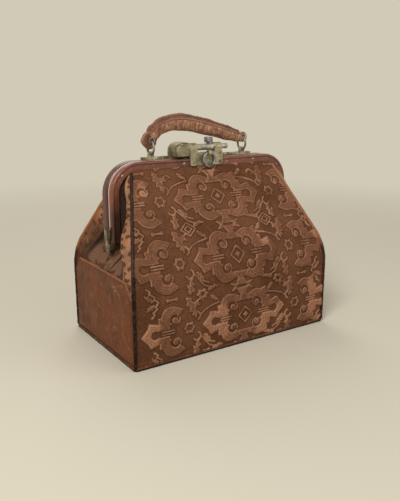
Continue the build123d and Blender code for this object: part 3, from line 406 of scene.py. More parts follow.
def carpet_figure(x, along):
    """Distance in millimetres to the edge of the raised figure, over the width and along the cloth."""
    x = x - ROW_SHIFT * ease(100, 40, along)
    row = (along - FIRST_ROW + ROW_REPEAT / 2) % ROW_REPEAT - ROW_REPEAT / 2
    link = (along - FIRST_ROW) % ROW_REPEAT - ROW_REPEAT / 2
    out, up = np.abs(x), np.abs(row)
    diamond = np.abs((out + up - 10.5) * math.sqrt(0.5)) - 0.8
    bud = np.minimum(np.hypot(out - 1.9, up), np.hypot(out, up - 1.9)) - 1.7
    pieces = [diamond, bud, field(out, up, STEM), half_medallion(out, up, x > 0)]
    pieces.append(field(out, np.abs(link), CROSS))
    side = out - ROSETTE_OUT
    rosette = np.maximum(star(side, row, 6, 9.0, 0.66), 4.0 - np.hypot(side, row))
    pieces += [rosette, np.where(side > 6, half_medallion(side, up, x > 0), FAR)]
    pieces += [hook(side, up, (-11, 13.5), 5.2, 2.3, 20, 230), leaf(side, row, (-2, 39), -114, 1.4)]
    pieces += [leaf(side, row, (-9, -38), 98, 1.05), leaf(side, row, (-20, -13), 215, 0.7)]
    pieces.append(hook(side, row, (-20, 30), 4.2, 1.8, -60, 230))
    pieces.append(stroke(out, row, [(37, 25), (50, 22.5), (61, 18.5), (68, 13)], 1.7))
    pieces.append(stroke(out, row, [(47, -27), (55, -24), (63, -19), (68, -13)], 1.7))
    pieces.append(stroke(out, row, [(62, -20.5), (55, -29), (46, -33.5), (35, -33)], 1.6))
    gap = out - LOZENGE_OUT
    spread = np.abs(gap) * 0.85 + np.abs(link)
    lozenge = np.minimum(np.abs(spread * 0.74 - 6.6) - 0.8, np.abs(spread * 0.74 - 3.2) - 0.7)
    bloom = np.maximum(star(gap, link * 1.25, 6, 9.5, 0.66), 2.8 - np.hypot(gap, link))
    between_rows = np.where(along > FIRST_ROW + ROW_REPEAT, lozenge, bloom)
    pieces.append(np.where(along > FIRST_ROW + 2 * ROW_REPEAT, FAR, between_rows))
    pieces += [leaf(gap, link, (-9, 3), 150, 0.7), leaf(gap, link, (-10, -4), 215, 0.7)]
    pieces += [leaf(gap, link, (10, 5), 40, 0.7), leaf(gap, link, (9, -6), -62, 0.7)]
    bone = out - BONE_OUT
    pieces += [bar(bone, link, (-5, 0), (5, 0), 1.8), np.hypot(np.abs(bone) - 6, link) - 2.4]
    edge = out - EDGE_OUT
    pieces += [stroke(edge, np.abs(link), [(-7, 0), (-2, 5), (-4, 7), (3, 12), (1, 14), (6, 18)], 2.0)]
    pieces += [leaf(edge, link, (-1, 2), 35, 0.7), leaf(edge, link, (-1, -2), -35, 0.7)]
    return np.maximum(np.minimum.reduce(pieces), -bar(x, link, (-6, 0), (6, 0), 3.6))


# Worn places as shares of half the width and of the height, with their reach
WORN_SHARES = (
    (-0.9, 0.13, 0.15),
    (-0.25, 0.08, 0.2),
    (0.3, 0.05, 0.14),
    (0.5, 0.12, 0.1),
    (0.96, 0.16, 0.22),
    (0.03, 0.96, 0.06),
    (0.5, 0.97, 0.12),
    (-0.9, 0.88, 0.08),
    (0.32, 0.55, 0.07),
    (0.97, 0.56, 0.06),
)
HATCH = 2.1 * MM


def speckled(pile, colour, tufts, shade):
    """A colour that is darker by a grey shade between the tufts of the pile."""
    node = pile.step("ShaderNodeMix", data_type="RGBA", blend_type="MULTIPLY")
    node.inputs[0].default_value = 1.0
    pile.tree.links.new(colour, node.inputs[6])
    pile.tree.links.new(pile.mix(pile.between(tufts, 0.25, 0.75), shade, "#ffffff"), node.inputs[7])
    return node.outputs[2]


def carpet(name):
    """Cut pile: a dark ground, a lighter figure with a painted highlight along its edge and painted shade
    round its foot, and worn places.
    """
    pile = Finish(name, 0.92, Specular_IOR_Level=0.15)
    figure = pile.carried("figure")
    clouds = pile.noise(0.05, 5.0)
    tufts = pile.noise(0.0013, 2.0)
    swirls = pile.noise(0.011, 3.0)
    ground = pile.mix(pile.between(clouds, 0.35, 0.65), "#5d3922", "#70482f")
    raised = pile.mix(pile.between(clouds, 0.35, 0.65), "#774e35", "#8a5e45")
    reddish = pile.between(pile.noise(0.034, 2.0), 0.5, 0.66)
    raised = pile.mix(pile.times(reddish, 0.5), raised, "#8d5a44")
    combing = {"Vector": pile.place, "Scale": BANDS_PER_SCALE / HATCH, "Distortion": 5.0}
    combing |= {"Detail": 2.0, "Detail Scale": 1.2}
    hatch = pile.step("ShaderNodeTexWave", combing, bands_direction="DIAGONAL").outputs[1]
    combed = pile.times(pile.between(hatch, 0.45, 0.0), pile.between(pile.noise(0.009), 0.42, 0.6))
    raised = pile.mix(pile.times(combed, 0.6), raised, "#5f3d28")
    ground = pile.mix(pile.times(pile.between(swirls, 0.5, 0.75), 0.5), ground, "#7b5138")
    raised = pile.mix(pile.times(pile.between(swirls, 0.48, 0.28), 0.6), raised, "#65402a")
    body = pile.mix(pile.between(figure, 0.5, -0.4), ground, raised)
    worn = pile.between(pile.times(pile.carried("worn"), pile.noise(0.018, 5.0)), 0.17, 0.36)
    thin = pile.times(worn, pile.between(figure, 1.8, -0.5))
    body = pile.mix(pile.times(thin, 0.85), body, "#b17d5e")
    line = pile.times(pile.between(figure, -2.0, -2.5), pile.between(figure, -3.4, -2.8))
    body = pile.mix(pile.times(line, 0.4), body, "#5c3822")
    # painted highlight: a pale band just inside the edge of the raised figure, patchy by noise
    edge_highlight = pile.times(pile.between(figure, 0.2, -0.3), pile.between(figure, -1.3, -0.5))
    wear_and_highlight = pile.times(edge_highlight, pile.between(pile.noise(0.012, 3.0), 0.3, 0.62))
    body = pile.mix(pile.times(wear_and_highlight, 0.72), body, "#ab8060")
    # painted shade: the ground darkened just outside the edge of the raised figure
    edge_shade = pile.times(pile.between(figure, 1.9, 0.6), pile.between(figure, 0.1, 0.6))
    body = pile.mix(pile.times(edge_shade, 0.55), body, "#3b2214")
    pile.colour(speckled(pile, body, tufts, "#c4c4c4"))
    pile.relief((tufts, 0.0005), (pile.noise(0.006, 3.0), 0.0006), (hatch, 0.0003))
    return pile.material


wall_carpet = carpet("wall_carpet")


def wall_sheet(side):
    """Points of a wall: shares across, length along the cloth, places and outward directions."""
    run = HALF_DEPTH - MOUTHS[side]
    along = np.linspace(0, 1.3 * MOUTH_HEIGHT, WALL_SAMPLES)
    heights = bent_line(run, along)[0]
    low, high = np.interp([WALL_BOTTOM, MOUTH_HEIGHT + JAW_GRIP], heights, along)
    length, across = grid(np.linspace(low, high, WALL_ROWS), np.linspace(-1, 1, WALL_COLUMNS))
    height, moved, turned = bent_line(run, length)
    half_width = seam_at(height, side)[0] - WELT_RADIUS / 2
    out = np.stack([np.zeros_like(turned), side * np.cos(turned), np.sin(turned)], -1)
    places = np.stack([across * half_width, side * (HALF_DEPTH - moved), height], -1)
    swell = WALL_BULGE * (1 - across**4) * np.sin(math.pi * (length - low) / (high - low)) ** 0.8
    return across, length, places + out * swell[..., None], out


def follow_jaw(made):
    """Bake the placing of one side's cloth into its mesh."""
    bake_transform(made)


for side, side_name in SIDE_NAMES.items():
    across, length, places, out = wall_sheet(side)
    figure = carpet_figure(places[..., 0] / MM, length / MM)
    rise = PILE_RISE * ease(0.8, -1.0, figure)
    pile_top = places + out * rise[..., None]
    wall = piece(side_name + "_carpet", pile_top, net(WALL_ROWS, WALL_COLUMNS, side > 0), wall_carpet)
    carry(wall, "figure", np.clip(figure, -4, 4))
    flat_length = float(length.max() - length.min())
    share_up = (length - length.min()) / flat_length
    worn = np.zeros_like(length)
    for across_share, up_share, reach in WORN_SHARES:
        worn += np.exp(-((across + side * across_share) ** 2 + (share_up - up_share) ** 2) / reach**2)
    carry(wall, "worn", np.clip(worn, 0, 1))
    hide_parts(side_name + "_panel")
    follow_jaw(wall)
    behind = places[::LINING_SPACING, ::LINING_SPACING]
    on_board = ease(BOARD_TOP + BOARD_EASE, BOARD_TOP, behind[..., 2])
    inset = LINING_DEPTH + (BOARD_DEPTH - LINING_DEPTH) * on_board
    inner = behind - out[::LINING_SPACING, ::LINING_SPACING] * inset[..., None]
    lining = piece(side_name + "_lining", inner, net(*inner.shape[:2], side < 0), lining_cotton)
    follow_jaw(lining)

# The welts in the four corner seams: dark leather rolled round a string.
# Each is sewn in between a wall and an end, and follows the bend up to the jaws.
# Above the bend three of them are rubbed to the tan of the hide.
WELT_SIDES = 14
WELT_STEPS = 150
WELT_TOP = MOUTH_HEIGHT - 2.6 * MM
WELT_RUBBED_FROM = 104 * MM
WELT_RUBBED_TO = 124 * MM
WELT_RUBBED = {(-1, -1): 0.1, (-1, 1): 0.85, (1, -1): 0.8, (1, 1): 0.5}
ENDS = {-1: "left", 1: "right"}
welt_hide = leather("welt_hide", "#35211a", "#251611", "#6b4531", "#95613f", 0.65, 0.0009, 0.62)
dark_welt_hide = leather("dark_welt_hide", "#1f1512", "#150e0c", "#4b3226", "#6b4531", 0.65, 0.0009, 0.66)


def rings(ahead, aside, sides):
    """Round rings square to unit directions; aside is any direction that none of them lies along."""
    across = np.cross(ahead, aside)
    across /= np.linalg.norm(across, axis=1)[:, None]
    third = np.cross(ahead, across)
    turn = np.linspace(0, 2 * math.pi, sides, endpoint=False)[None, :, None]
    return across[:, None] * np.cos(turn) + third[:, None] * np.sin(turn)


def rolled_welt(name, line, radius, finish):
    """A round roll of leather along points, closed at both ends, with a radius at each point."""
    ahead = np.gradient(line, axis=0)
    ahead /= np.linalg.norm(ahead, axis=1)[:, None]
    roll = line[:, None] + rings(ahead, (1.0, 0.1, 0.0), WELT_SIDES) * radius[:, None, None]
    points = np.vstack([roll.reshape(-1, 3), line[0], line[-1]])
    faces = net(len(line), WELT_SIDES, closed=True)
    last = (len(line) - 1) * WELT_SIDES
    for i in range(WELT_SIDES):
        j = (i + 1) % WELT_SIDES
        faces.append([j, i, len(points) - 2])
        faces.append([last + i, last + j, len(points) - 1])
    return piece(name, points, faces, finish)


for side, side_name in SIDE_NAMES.items():
    for end, end_name in ENDS.items():
        height = np.linspace(2 * WELT_RADIUS, WELT_TOP, WELT_STEPS)
        seam_x, seam_y = seam_at(height, side)
        worn_radius = WELT_RADIUS * (1 + 0.05 * np.sin(height * 410) + 0.04 * np.sin(height * 1130 + end))
        line = np.stack([end * seam_x, side * seam_y, height], -1)
        finish = dark_welt_hide if side < 0 and end < 0 else welt_hide
        welt = rolled_welt(f"{side_name}_{end_name}_welt", line, worn_radius, finish)
        wear_and_highlight = WELT_RUBBED[side, end] * ease(WELT_RUBBED_FROM, WELT_RUBBED_TO, height)
        carry(welt, "wear_and_highlight", np.append(np.repeat(wear_and_highlight, WELT_SIDES), [0, 0]))
        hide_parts(f"{side_name}_{end_name}_piping")
        follow_jaw(welt)

# The two ends: carpet of a tan ground with dark sprigs, flat below and pleated in beside the jaws.
# A plain leather patch with two cut corners is pasted and sewn over the lower half of each.
# A flap closes the gap behind the hinge.
jaw_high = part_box("front_jaw_cover")[1]
JAW_CORNER = 38 * MM
HEM_PLACE = jaw_high.x - 11.2 * MM
HEM_DEPTH = 9.2 * MM
CORNER_START = jaw_high.z - JAW_CORNER
CORNER_INSIDE = 26.5 * MM
ROLL_DEPTH = 27 * MM
ROLL_SPREAD = 30 * MM
ROLL_LOW = 104 * MM
ROLL_HIGH = 150 * MM
VALLEY_DEPTH = 17 * MM
VALLEY_INSET = 10 * MM
PLEAT_START = 98 * MM
PLEAT_END = 134 * MM
WING_BOTTOM = 100.5 * MM
WING_TOP = 218 * MM
WING_ROWS = 110
WING_COLUMNS = 46
WING_FADE = 22 * MM
WING_TUCK = 0.4 * MM
WING_PUFFS = (1.6 * MM, 1.4 * MM)
# Heights between which the pleat shuts, and between which the back wings take a painted highlight of lighter
# tan
OPEN_BELOW = 122 * MM
SHUT_ABOVE = 142 * MM
HIGHLIGHT_FROM = 146 * MM
HIGHLIGHT_TO = 172 * MM
END_CLOTH = 1.4 * MM
END_GRID = (40, 60)
END_OVERLAP = 2 * MM
FLAP_GRID = (40, 20)
FLAP_HALF = 15 * MM
FLAP_TOP = 137 * MM


def smooth_through(knots, samples):
    """Places on a smooth line through knots, which may each be an array of points."""
    knots = np.asarray(knots, float)
    spans = len(knots) - 1
    place = np.linspace(0, spans, samples)
    index = np.minimum(place.astype(int), spans - 1)
    share = (place - index).reshape(-1, *([1] * (knots.ndim - 1)))
    before = knots[np.maximum(index - 1, 0)]
    first, last = knots[index], knots[index + 1]
    after = knots[np.minimum(index + 2, spans)]
    bend = 2 * before - 5 * first + 4 * last - after
    turn = 3 * first - before - 3 * last + after
    return 0.5 * (2 * first + (last - before) * share + bend * share**2 + turn * share**3)


def end_wing(side):
    """Half an end above the patch, on the right, from the seam to the hem behind the arm of the jaw.

    Also how far each place lies beyond the fold of the pleat.
    """
    height = np.linspace(WING_BOTTOM, WING_TOP, WING_ROWS)
    seam_x, seam_y = seam_at(height, side)
    pleat = ease(PLEAT_START, PLEAT_END, height)
    fade = ease(WING_TOP, WING_TOP - WING_FADE, height)
    roll_y = np.minimum(ROLL_DEPTH + ROLL_SPREAD * ease(ROLL_HIGH, ROLL_LOW, height), seam_y - 4 * MM)
    valley_y = np.minimum(VALLEY_DEPTH, roll_y - 3 * MM)
    hem_y = np.minimum(HEM_DEPTH, valley_y - 2 * MM)
    corner_rise = np.clip((height - CORNER_START) / CORNER_INSIDE, 0, 1)
    hem_x = HEM_PLACE - CORNER_INSIDE * (1 - np.sqrt(1 - corner_rise**2))
    valley_x = np.minimum(HEM_PLACE, seam_x) - VALLEY_INSET * fade
    roll_x = np.maximum(seam_x - 2.5 * MM, seam_x + 0.8 * (hem_x - seam_x))
    pleated = [
        (seam_x, seam_y),
        ((2 * seam_x + roll_x) / 3 + WING_PUFFS[0], (2 * seam_y + roll_y) / 3),
        ((seam_x + 2 * roll_x) / 3 + WING_PUFFS[1], (seam_y + 2 * roll_y) / 3),
        (roll_x, roll_y),
        (valley_x, valley_y),
        (hem_x, hem_y),
    ]
    flat_x = seam_x - WING_TUCK
    knots = []
    for x, y in pleated:
        knots.append(np.stack([flat_x + (x - flat_x) * pleat, y, height], -1))
    places = smooth_through(knots, WING_COLUMNS).transpose(1, 0, 2)
    return places, roll_y[:, None] - places[..., 1]


def end_carpet(name, base, deep):
    """Pile with dark sprigs on a plain ground, painted lighter tan as a highlight where the mesh says so, and
    painted shade where it turns in and in the folds.
    """
    pile = Finish(name, 0.92, Specular_IOR_Level=0.15)
    tufts = pile.noise(0.0014, 2.0)
    ground = pile.mix(pile.between(pile.noise(0.03, 5.0), 0.35, 0.7), base, deep)
    # painted highlight: lighter tan where the mesh carries it, high on the back wings
    ground = pile.mix(pile.carried("wear_and_highlight"), ground, "#a4714b")
    # painted shade: darker brown where the cloth turns in past the roll, and on the flap behind the hinge
    ground = pile.mix(pile.carried("inner"), ground, "#76543f")
    sprig = pile.between(pile.carried("figure"), 0.7, -0.5)
    leafy = pile.mix(pile.between(pile.noise(0.009, 2.0), 0.4, 0.6), "#3f321c", "#52281d")
    ground = pile.mix(pile.times(sprig, 0.85), ground, leafy)
    ground = pile.mix(pile.between(pile.noise(0.012, 6.0), 0.62, 0.75), ground, "#b98459")
    # painted shade: near-black brown deep in the pleat and down the middle of the flap
    ground = pile.mix(pile.carried("fold"), ground, "#35271d")
    pile.colour(speckled(pile, ground, tufts, "#c0c0c0"))
    pile.relief((tufts, 0.0005), (pile.noise(0.007, 3.0), 0.0005))
    return pile.material


CURL_REPEAT = 17
SPRIG_ROWS = 16
SPRIG_COLUMNS = 22
SPRIG_SHIFT = 9


def sprigs(across, up):
    """Distance in millimetres to the edge of the sprigs: curls up along the fold, and leaves beyond."""
    beat = (up + 3) % CURL_REPEAT - CURL_REPEAT / 2
    curls = np.minimum(hook(across, beat, (7, 1.5), 3.6, 3.0, 60, 230), leaf(across, beat, (2, -5), 14, 0.7))
    x = (across + SPRIG_SHIFT * (np.floor(up / SPRIG_ROWS) % 2)) % SPRIG_COLUMNS - SPRIG_COLUMNS / 2
    y = up % SPRIG_ROWS - SPRIG_ROWS / 2
    leaves = np.minimum(leaf(x, y, (-9, -2), 12, 0.6), leaf(x, y, (7, 4), 200, 0.42))
    return np.where(np.abs(across - 6) < 7, curls, leaves)


front_end_carpet = end_carpet("front_end_carpet", "#ad7b58", "#93664a")
back_end_carpet = end_carpet("back_end_carpet", "#714a30", "#523422")
patch_low, patch_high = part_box("right_side_patch")
PATCH_CUT = (14 * MM, 18 * MM)
PATCH_EDGE = 2.2 * MM
PATCH_DROP = 0.85
PATCH_DENT = 0.45 * MM
DENT_INSET = 12 * MM
PATCH_GRID = (90, 130)
PATCH_RUB = 1.4 * MM
# Length, gap and radius of the stitches
PATCH_STITCH = (3.0 * MM, 2.0 * MM, 0.4 * MM)
STITCH_SIDES = 6
STITCH_ROUNDS = ((0, 0.4), (0.14, 1), (0.86, 1), (1, 0.4))
STITCH_INSET = 3.4 * MM
STITCH_SAMPLES = 120


def lined(made, thickness):
    """Give a cloth its thickness, lined on the inside."""
    solid = made.modifiers.new("lined", "SOLIDIFY")
    solid.thickness = thickness
    solid.offset = -1
    solid.material_offset = 1
    solid.use_rim = True


def patch_half(height):
    """Half the depth of a patch at a height: its upper corners are cut."""
    shoulder = patch_high.z - PATCH_CUT[1]
    return patch_high.y - PATCH_CUT[0] * np.clip((height - shoulder) / PATCH_CUT[1], 0, 1)


def patch_face(depth, height):
    """Places on the outer face of the right patch, which is rounded off at its edges and softly dented."""
    to_side = patch_half(height) - np.abs(depth)
    to_edge = np.minimum.reduce([to_side, patch_high.z - height, height - patch_low.z])
    drop = (patch_high.x - patch_low.x) * (1 - ease(0, PATCH_EDGE, to_edge)) * PATCH_DROP
    dents = np.sin(depth * 61 + height * 37) * np.sin(height * 83 - depth * 21) * ease(0, DENT_INSET, to_edge)
    return np.stack([patch_high.x - drop + PATCH_DENT * dents, depth, height], -1)


def capped(rounds, sides):
    """Faces of a roll of rings, closed by a flat face at both ends."""
    first = list(range(sides))
    return net(rounds, sides, closed=True) + [first[::-1], [(rounds - 1) * sides + i for i in first]]


thread = Finish("waxed_thread", 0.6, Specular_IOR_Level=0.25)
thread.colour(thread.mix(thread.between(thread.noise(0.004), 0.35, 0.65), "#3b2418", "#573724"))
thread.relief((thread.noise(0.0006, 2.0), 0.0002))


def stitches(name, line, stitch, gap, radius):
    """A row of short round threads along a line of places, as one mesh."""
    along = np.append(0, np.cumsum(np.linalg.norm(np.diff(line, axis=0), axis=1)))
    starts = np.arange(gap, along[-1] - stitch, stitch + gap)
    first = np.stack([np.interp(starts, along, part) for part in line.T], -1)
    last = np.stack([np.interp(starts + stitch, along, part) for part in line.T], -1)
    ahead = last - first
    ring = rings(ahead / stitch, (0.3, 0.8, 0.52), STITCH_SIDES)
    rounds = []
    for share, width in STITCH_ROUNDS:
        rounds.append(first[:, None] + share * ahead[:, None] + width * radius * ring)
    one = capped(len(rounds), STITCH_SIDES)
    corners = len(rounds) * STITCH_SIDES
    faces = [[corners * i + corner for corner in face] for i in range(len(first)) for face in one]
    return piece(name, np.stack(rounds, 1), faces, thread.material)


for end, end_name in ENDS.items():
    mirror = np.array([end, 1, 1])
    for side, side_name in SIDE_NAMES.items():
        places, beyond = end_wing(side)
        places = places * np.array([end, side, 1])
        finish = front_end_carpet if side < 0 else back_end_carpet
        faces = net(WING_ROWS, WING_COLUMNS, end * side > 0)
        wing = piece(f"{side_name}_{end_name}_wing", places, faces, finish, lining_cotton)
        high = places[..., 2]
        carry(wing, "figure", np.clip(sprigs(-beyond / MM, high / MM), -4, 4))
        # painted shade where the cloth turns in past the roll
        carry(wing, "inner", ease(-0.5 * MM, 1.5 * MM, beyond))
        opens = ease(4 * MM, 10 * MM, beyond) * ease(SHUT_ABOVE, OPEN_BELOW, high)
        # painted shade in the pleat, less where the pleat opens low down
        carry(wing, "fold", ease(0, 1.6 * MM, beyond) * (1 - opens))
        # painted highlight: the back wings lighter tan high up
        carry(wing, "wear_and_highlight", ease(HIGHLIGHT_FROM, HIGHLIGHT_TO, high) * (side > 0))
        lined(wing, END_CLOTH)
        follow_jaw(wing)
    end_top = WING_BOTTOM + END_OVERLAP
    up, across = grid(np.linspace(WALL_BOTTOM, end_top, END_GRID[0]), np.linspace(-1, 1, END_GRID[1]))
    lower = np.stack([np.full_like(up, HALF_LENGTH - 0.3 * MM), across * HALF_DEPTH, up], -1)
    tall, wide = grid(np.linspace(WING_BOTTOM, FLAP_TOP, FLAP_GRID[0]), np.linspace(-1, 1, FLAP_GRID[1]))
    tuck = HALF_LENGTH - HEM_PLACE + 1.5 * MM
    tucked = HALF_LENGTH - tuck * ease(PLEAT_START, PLEAT_END - 4 * MM, tall)
    flap = np.stack([tucked - 2.0 * MM + 2.5 * MM * wide**2, wide * FLAP_HALF, tall], -1)
    points = np.vstack([lower.reshape(-1, 3), flap.reshape(-1, 3)]) * mirror
    faces = net(*END_GRID, end < 0) + np.add(net(*FLAP_GRID, end < 0), lower.size // 3).tolist()
    cloth = piece(end_name + "_end", points, faces, back_end_carpet, lining_cotton)
    carry(cloth, "figure", np.clip(sprigs(points[:, 1] / MM, points[:, 2] / MM), -4, 4))
    in_middle = ease(0.5, 0.1, np.abs(points[:, 1]) / FLAP_HALF)
    # painted shade down the middle of the flap, and darker over the whole flap
    carry(cloth, "fold", in_middle * ease(end_top, FLAP_TOP, points[:, 2]))
    carry(cloth, "inner", points[:, 2] > end_top)
    lined(cloth, END_CLOTH)
    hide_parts(end_name + "_gusset")
    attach(cloth, "bag")
    patch_heights = np.linspace(patch_low.z, patch_high.z, PATCH_GRID[0])
    high, across = grid(patch_heights, np.linspace(-1, 1, PATCH_GRID[1]))
    depth = across * patch_half(high)
    places = patch_face(depth, high) * mirror
    patch = piece(end_name + "_patch", places, net(*PATCH_GRID, end < 0), brown_hide)
    on_cut = np.where(high > patch_high.z - PATCH_CUT[1], patch_half(high) - np.abs(depth), patch_high.z)
    to_cut = np.minimum(patch_high.z - high, on_cut)
    carry(patch, "wear_and_highlight", 0.35 * np.exp(-((to_cut / PATCH_RUB) ** 2)))
    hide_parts(end_name + "_side_patch")
    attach(patch, "bag")
    climb = np.linspace(patch_low.z + STITCH_INSET, patch_high.z - STITCH_INSET, STITCH_SAMPLES)
    reach = patch_half(climb) - STITCH_INSET
    level = np.linspace(reach[-1], -reach[-1], STITCH_SAMPLES)
    depth = np.concatenate([reach, level, -reach[::-1]])
    high = np.concatenate([climb, np.full_like(level, climb[-1]), climb[::-1]])
    row = patch_face(depth, high) * mirror
    seam = stitches(end_name + "_patch_stitches", row, *PATCH_STITCH)
    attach(seam, "bag")

# The jaws: two steel bows wrapped in maroon leather, the front one with a bead along its outer edge.
# Small brass rivets hold the leather. The bows turn on brass leaves pinned at the ends.
JAW_BEAD = 2.6 * MM
ARM_FADE = 30 * MM


def jaw_leather(name, base, deep, pale, bead, arm_shade_below):
    """Waxed leather with a painted highlight on its worn, pale bead, and painted shade low on the arms and in
    the gap where the jaws meet.
    """
    hide = Finish(name, 0.3, Specular_IOR_Level=0.4)
    cloudy = hide.mix(hide.between(hide.noise(0.03, 5.0), 0.36, 0.66), base, deep)
    mottled = hide.mix(hide.between(hide.noise(0.005, 5.0), 0.55, 0.8), cloudy, pale)
    parts = hide.step("ShaderNodeSeparateXYZ", {0: hide.place}).outputs
    beyond_x = hide.reckon("SUBTRACT", hide.reckon("ABSOLUTE", parts[0], 0.0), jaw_high.x - JAW_CORNER)
    beyond_z = hide.reckon("SUBTRACT", parts[2], jaw_high.z - JAW_CORNER)
    beyond = {"X": hide.reckon("MAXIMUM", beyond_x, 0.0), "Y": hide.reckon("MAXIMUM", beyond_z, 0.0)}
    corner = hide.step("ShaderNodeCombineXYZ", beyond).outputs[0]
    reach = hide.step("ShaderNodeVectorMath", {0: corner}, operation="LENGTH").outputs["Value"]
    # painted highlight: the bead along the outer edge made pale, together with its wear
    wear_and_highlight = hide.between(reach, JAW_CORNER - JAW_BEAD - 0.4 * MM, JAW_CORNER - JAW_BEAD + 0.6 * MM)
    wear_and_highlight = hide.times(wear_and_highlight, hide.between(parts[1], -5.4 * MM, -3.6 * MM))
    beaded = hide.mix(hide.times(wear_and_highlight, 0.85), mottled, bead)
    # painted shade: the arms darkened below the given height, away from the bead
    low_arm_shade = hide.times(hide.between(parts[2], arm_shade_below + ARM_FADE, arm_shade_below), 0.8)
    below_bead = hide.between(reach, JAW_CORNER - JAW_BEAD, JAW_CORNER - 4 * MM)
    below_bead = hide.reckon("MAXIMUM", below_bead, hide.between(parts[1], -4.4 * MM, -6.4 * MM))
    beaded = hide.mix(hide.times(low_arm_shade, below_bead), beaded, "#261915")
    # painted shade: a dark line in the gap where the two jaws meet
    gap_shade = hide.between(hide.reckon("ABSOLUTE", parts[1], 0.0), 1.3 * MM, 0.7 * MM)
    hide.colour(hide.mix(hide.times(gap_shade, 0.9), beaded, "#160e0b"))
    hide.relief((hide.cells(0.0008), 0.00012), (hide.noise(0.009, 4.0), 0.0003))
    return hide.material


front_jaw_hide = jaw_leather("front_jaw_hide", "#6f402f", "#552e21", "#875846", "#c9a392", 165 * MM)
back_jaw_hide = jaw_leather("back_jaw_hide", "#522b21", "#40221b", "#6c4335", "#50302a", 0)


def metal(name, base, deep, pale, roughness):
    """Old metal: cloudy tarnish, fine scratches and bright rubbed spots."""
    old = Finish(name, roughness, Metallic=0.85)
    cloudy = old.mix(old.between(old.noise(0.009, 6.0), 0.38, 0.66), base, deep)
    old.colour(old.mix(old.between(old.noise(0.004, 5.0), 0.56, 0.75), cloudy, pale))
    old.gloss(old.between(old.noise(0.003, 5.0), roughness - 1.0, roughness + 1.0))
    brushed = old.noise(0.0008, 2.0, (0.15, 1.0, 1.0))
    old.relief((old.noise(0.002, 4.0), 0.00012), (brushed, 0.00006))
    return old.material


old_brass = metal("old_brass", "#a3997e", "#70674f", "#d2c9ad", 0.38)
brown_brass = metal("brown_brass", "#5f4c38", "#43342a", "#7d6a50", 0.5)
dark_brass = metal("dark_brass", "#8b8267", "#5e5640", "#c0b79b", 0.4)
dull_steel = metal("dull_steel", "#8c8586", "#5a5355", "#bdb6b4", 0.34)
pale_steel = metal("pale_steel", "#bab2a5", "#948c81", "#e2dccf", 0.36)
dress(front_jaw_hide, "front_jaw_cover")
dress(back_jaw_hide, "back_jaw_cover")
dress(dull_steel, "front_jaw_bow", "back_jaw_bow")
dress(old_brass, "front_jaw_rivets", "front_hinge_rivets", "back_hinge_rivets")
for end_name in ENDS.values():
    dress(brown_brass, end_name + "_front_hinge_leaf")
    dress(old_brass, end_name + "_back_hinge_leaf", end_name + "_hinge_pin")

# The lock on the front jaw: a brass plate with two keepers, a steel bolt with a knob, and a pull ring.
# The bolt slides to the left into the brass socket on the handle bar.
dress(old_brass, "clasp_plate", "left_bolt_keeper", "right_bolt_keeper")
dress(dark_brass, "bolt_socket", "clasp_rivets")
dress(pale_steel, "lock_bolt")
dress(dull_steel, "bolt_knob", "pull_ring")

# The handle bar: cast brass, screwed to the top of the back jaw, with an ear at each end.
# A steel ring hangs in each ear and carries the brass eyelet of the handle.
dress(old_brass, "handle_bar", "handle_bar_screws", "left_handle_eyelet", "right_handle_eyelet")
dress(dull_steel, "left_handle_ring", "right_handle_ring")

# The handle: a roll of tan leather, its upper strip folded over the lower and sewn in two rows.
# It is arched more on its left, and frayed on top.
# Flat ends with eyelets hang on the rings; the left one is a broad worn strap.
eye_low, eye_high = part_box("right_handle_eyelet")
EYE = (eye_low + eye_high) / 2
HANDLE_RISE = 21 * MM
HANDLE_THICKNESS = 20 * MM
HANDLE_DEPTH = 16 * MM
TAB_THICKNESS = 6.4 * MM
GRIP_PLACE_SHARES = (-0.98, -0.91, -0.73, -0.40, 0.07, 0.55, 0.83, 0.93)
GRIP_RISE_SHARES = (0.16, 0.50, 0.86, 1.00, 0.74, 0.33, 0.08, 0.01)
GRIP_THICK_SHARES = (0.84, 0.88, 0.92, 1.00, 0.98, 0.90, 0.76, 0.64)
GRIP_DEPTH_SHARES = (0.40, 0.62, 0.90, 1.00, 1.00, 0.92, 0.64, 0.41)
GRIP_STEPS = 260
GRIP_SIDES = 96
STRIP_STEP = 1.0 * MM
FRAY_LENGTH = 0.9 * MM
FRAY_ANGLE = 92.0
FRAY_WIDTH = 16.0
GROOVE_DEPTH = 0.5 * MM
ROLL_WAVE = 0.35 * MM
SEAM_ANGLE = 28.0
SEWN_OFFSETS = (9.0, 24.0)
SEWN_STITCH = (2.6 * MM, 1.7 * MM, 0.42 * MM)
SEWN_STEPS = slice(20, 240)
rng = np.random.default_rng(7)

tan_hide = Finish("tan_hide", 0.6, Specular_IOR_Level=0.3)
strip = tan_hide.carried("strip")
roll = tan_hide.mix(tan_hide.between(tan_hide.noise(0.014, 5.0), 0.35, 0.7), "#91664d", "#734832")
pale_strokes = tan_hide.noise(0.0026, 4.0, (1.0, 1.0, 0.4))
roll = tan_hide.mix(tan_hide.between(pale_strokes, 0.48, 0.7), roll, "#b68d72")
dark_strokes = tan_hide.noise(0.0028, 4.0, (1.0, 1.0, 0.3))
roll = tan_hide.mix(tan_hide.between(dark_strokes, 0.48, 0.3), roll, "#6a3f2a")
upper = tan_hide.mix(tan_hide.between(tan_hide.noise(0.012, 5.0), 0.35, 0.7), "#734730", "#5a3523")
both = tan_hide.mix(tan_hide.between(strip, 0.4, 0.6), roll, upper)
both = tan_hide.mix(tan_hide.times(tan_hide.carried("edge"), 0.55), both, "#b78d70")
cracks = tan_hide.between(tan_hide.noise(0.004, 6.0, (0.35, 1.0, 1.0)), 0.58, 0.7)
both = tan_hide.mix(tan_hide.times(cracks, 0.6), both, "#4b2b1a")
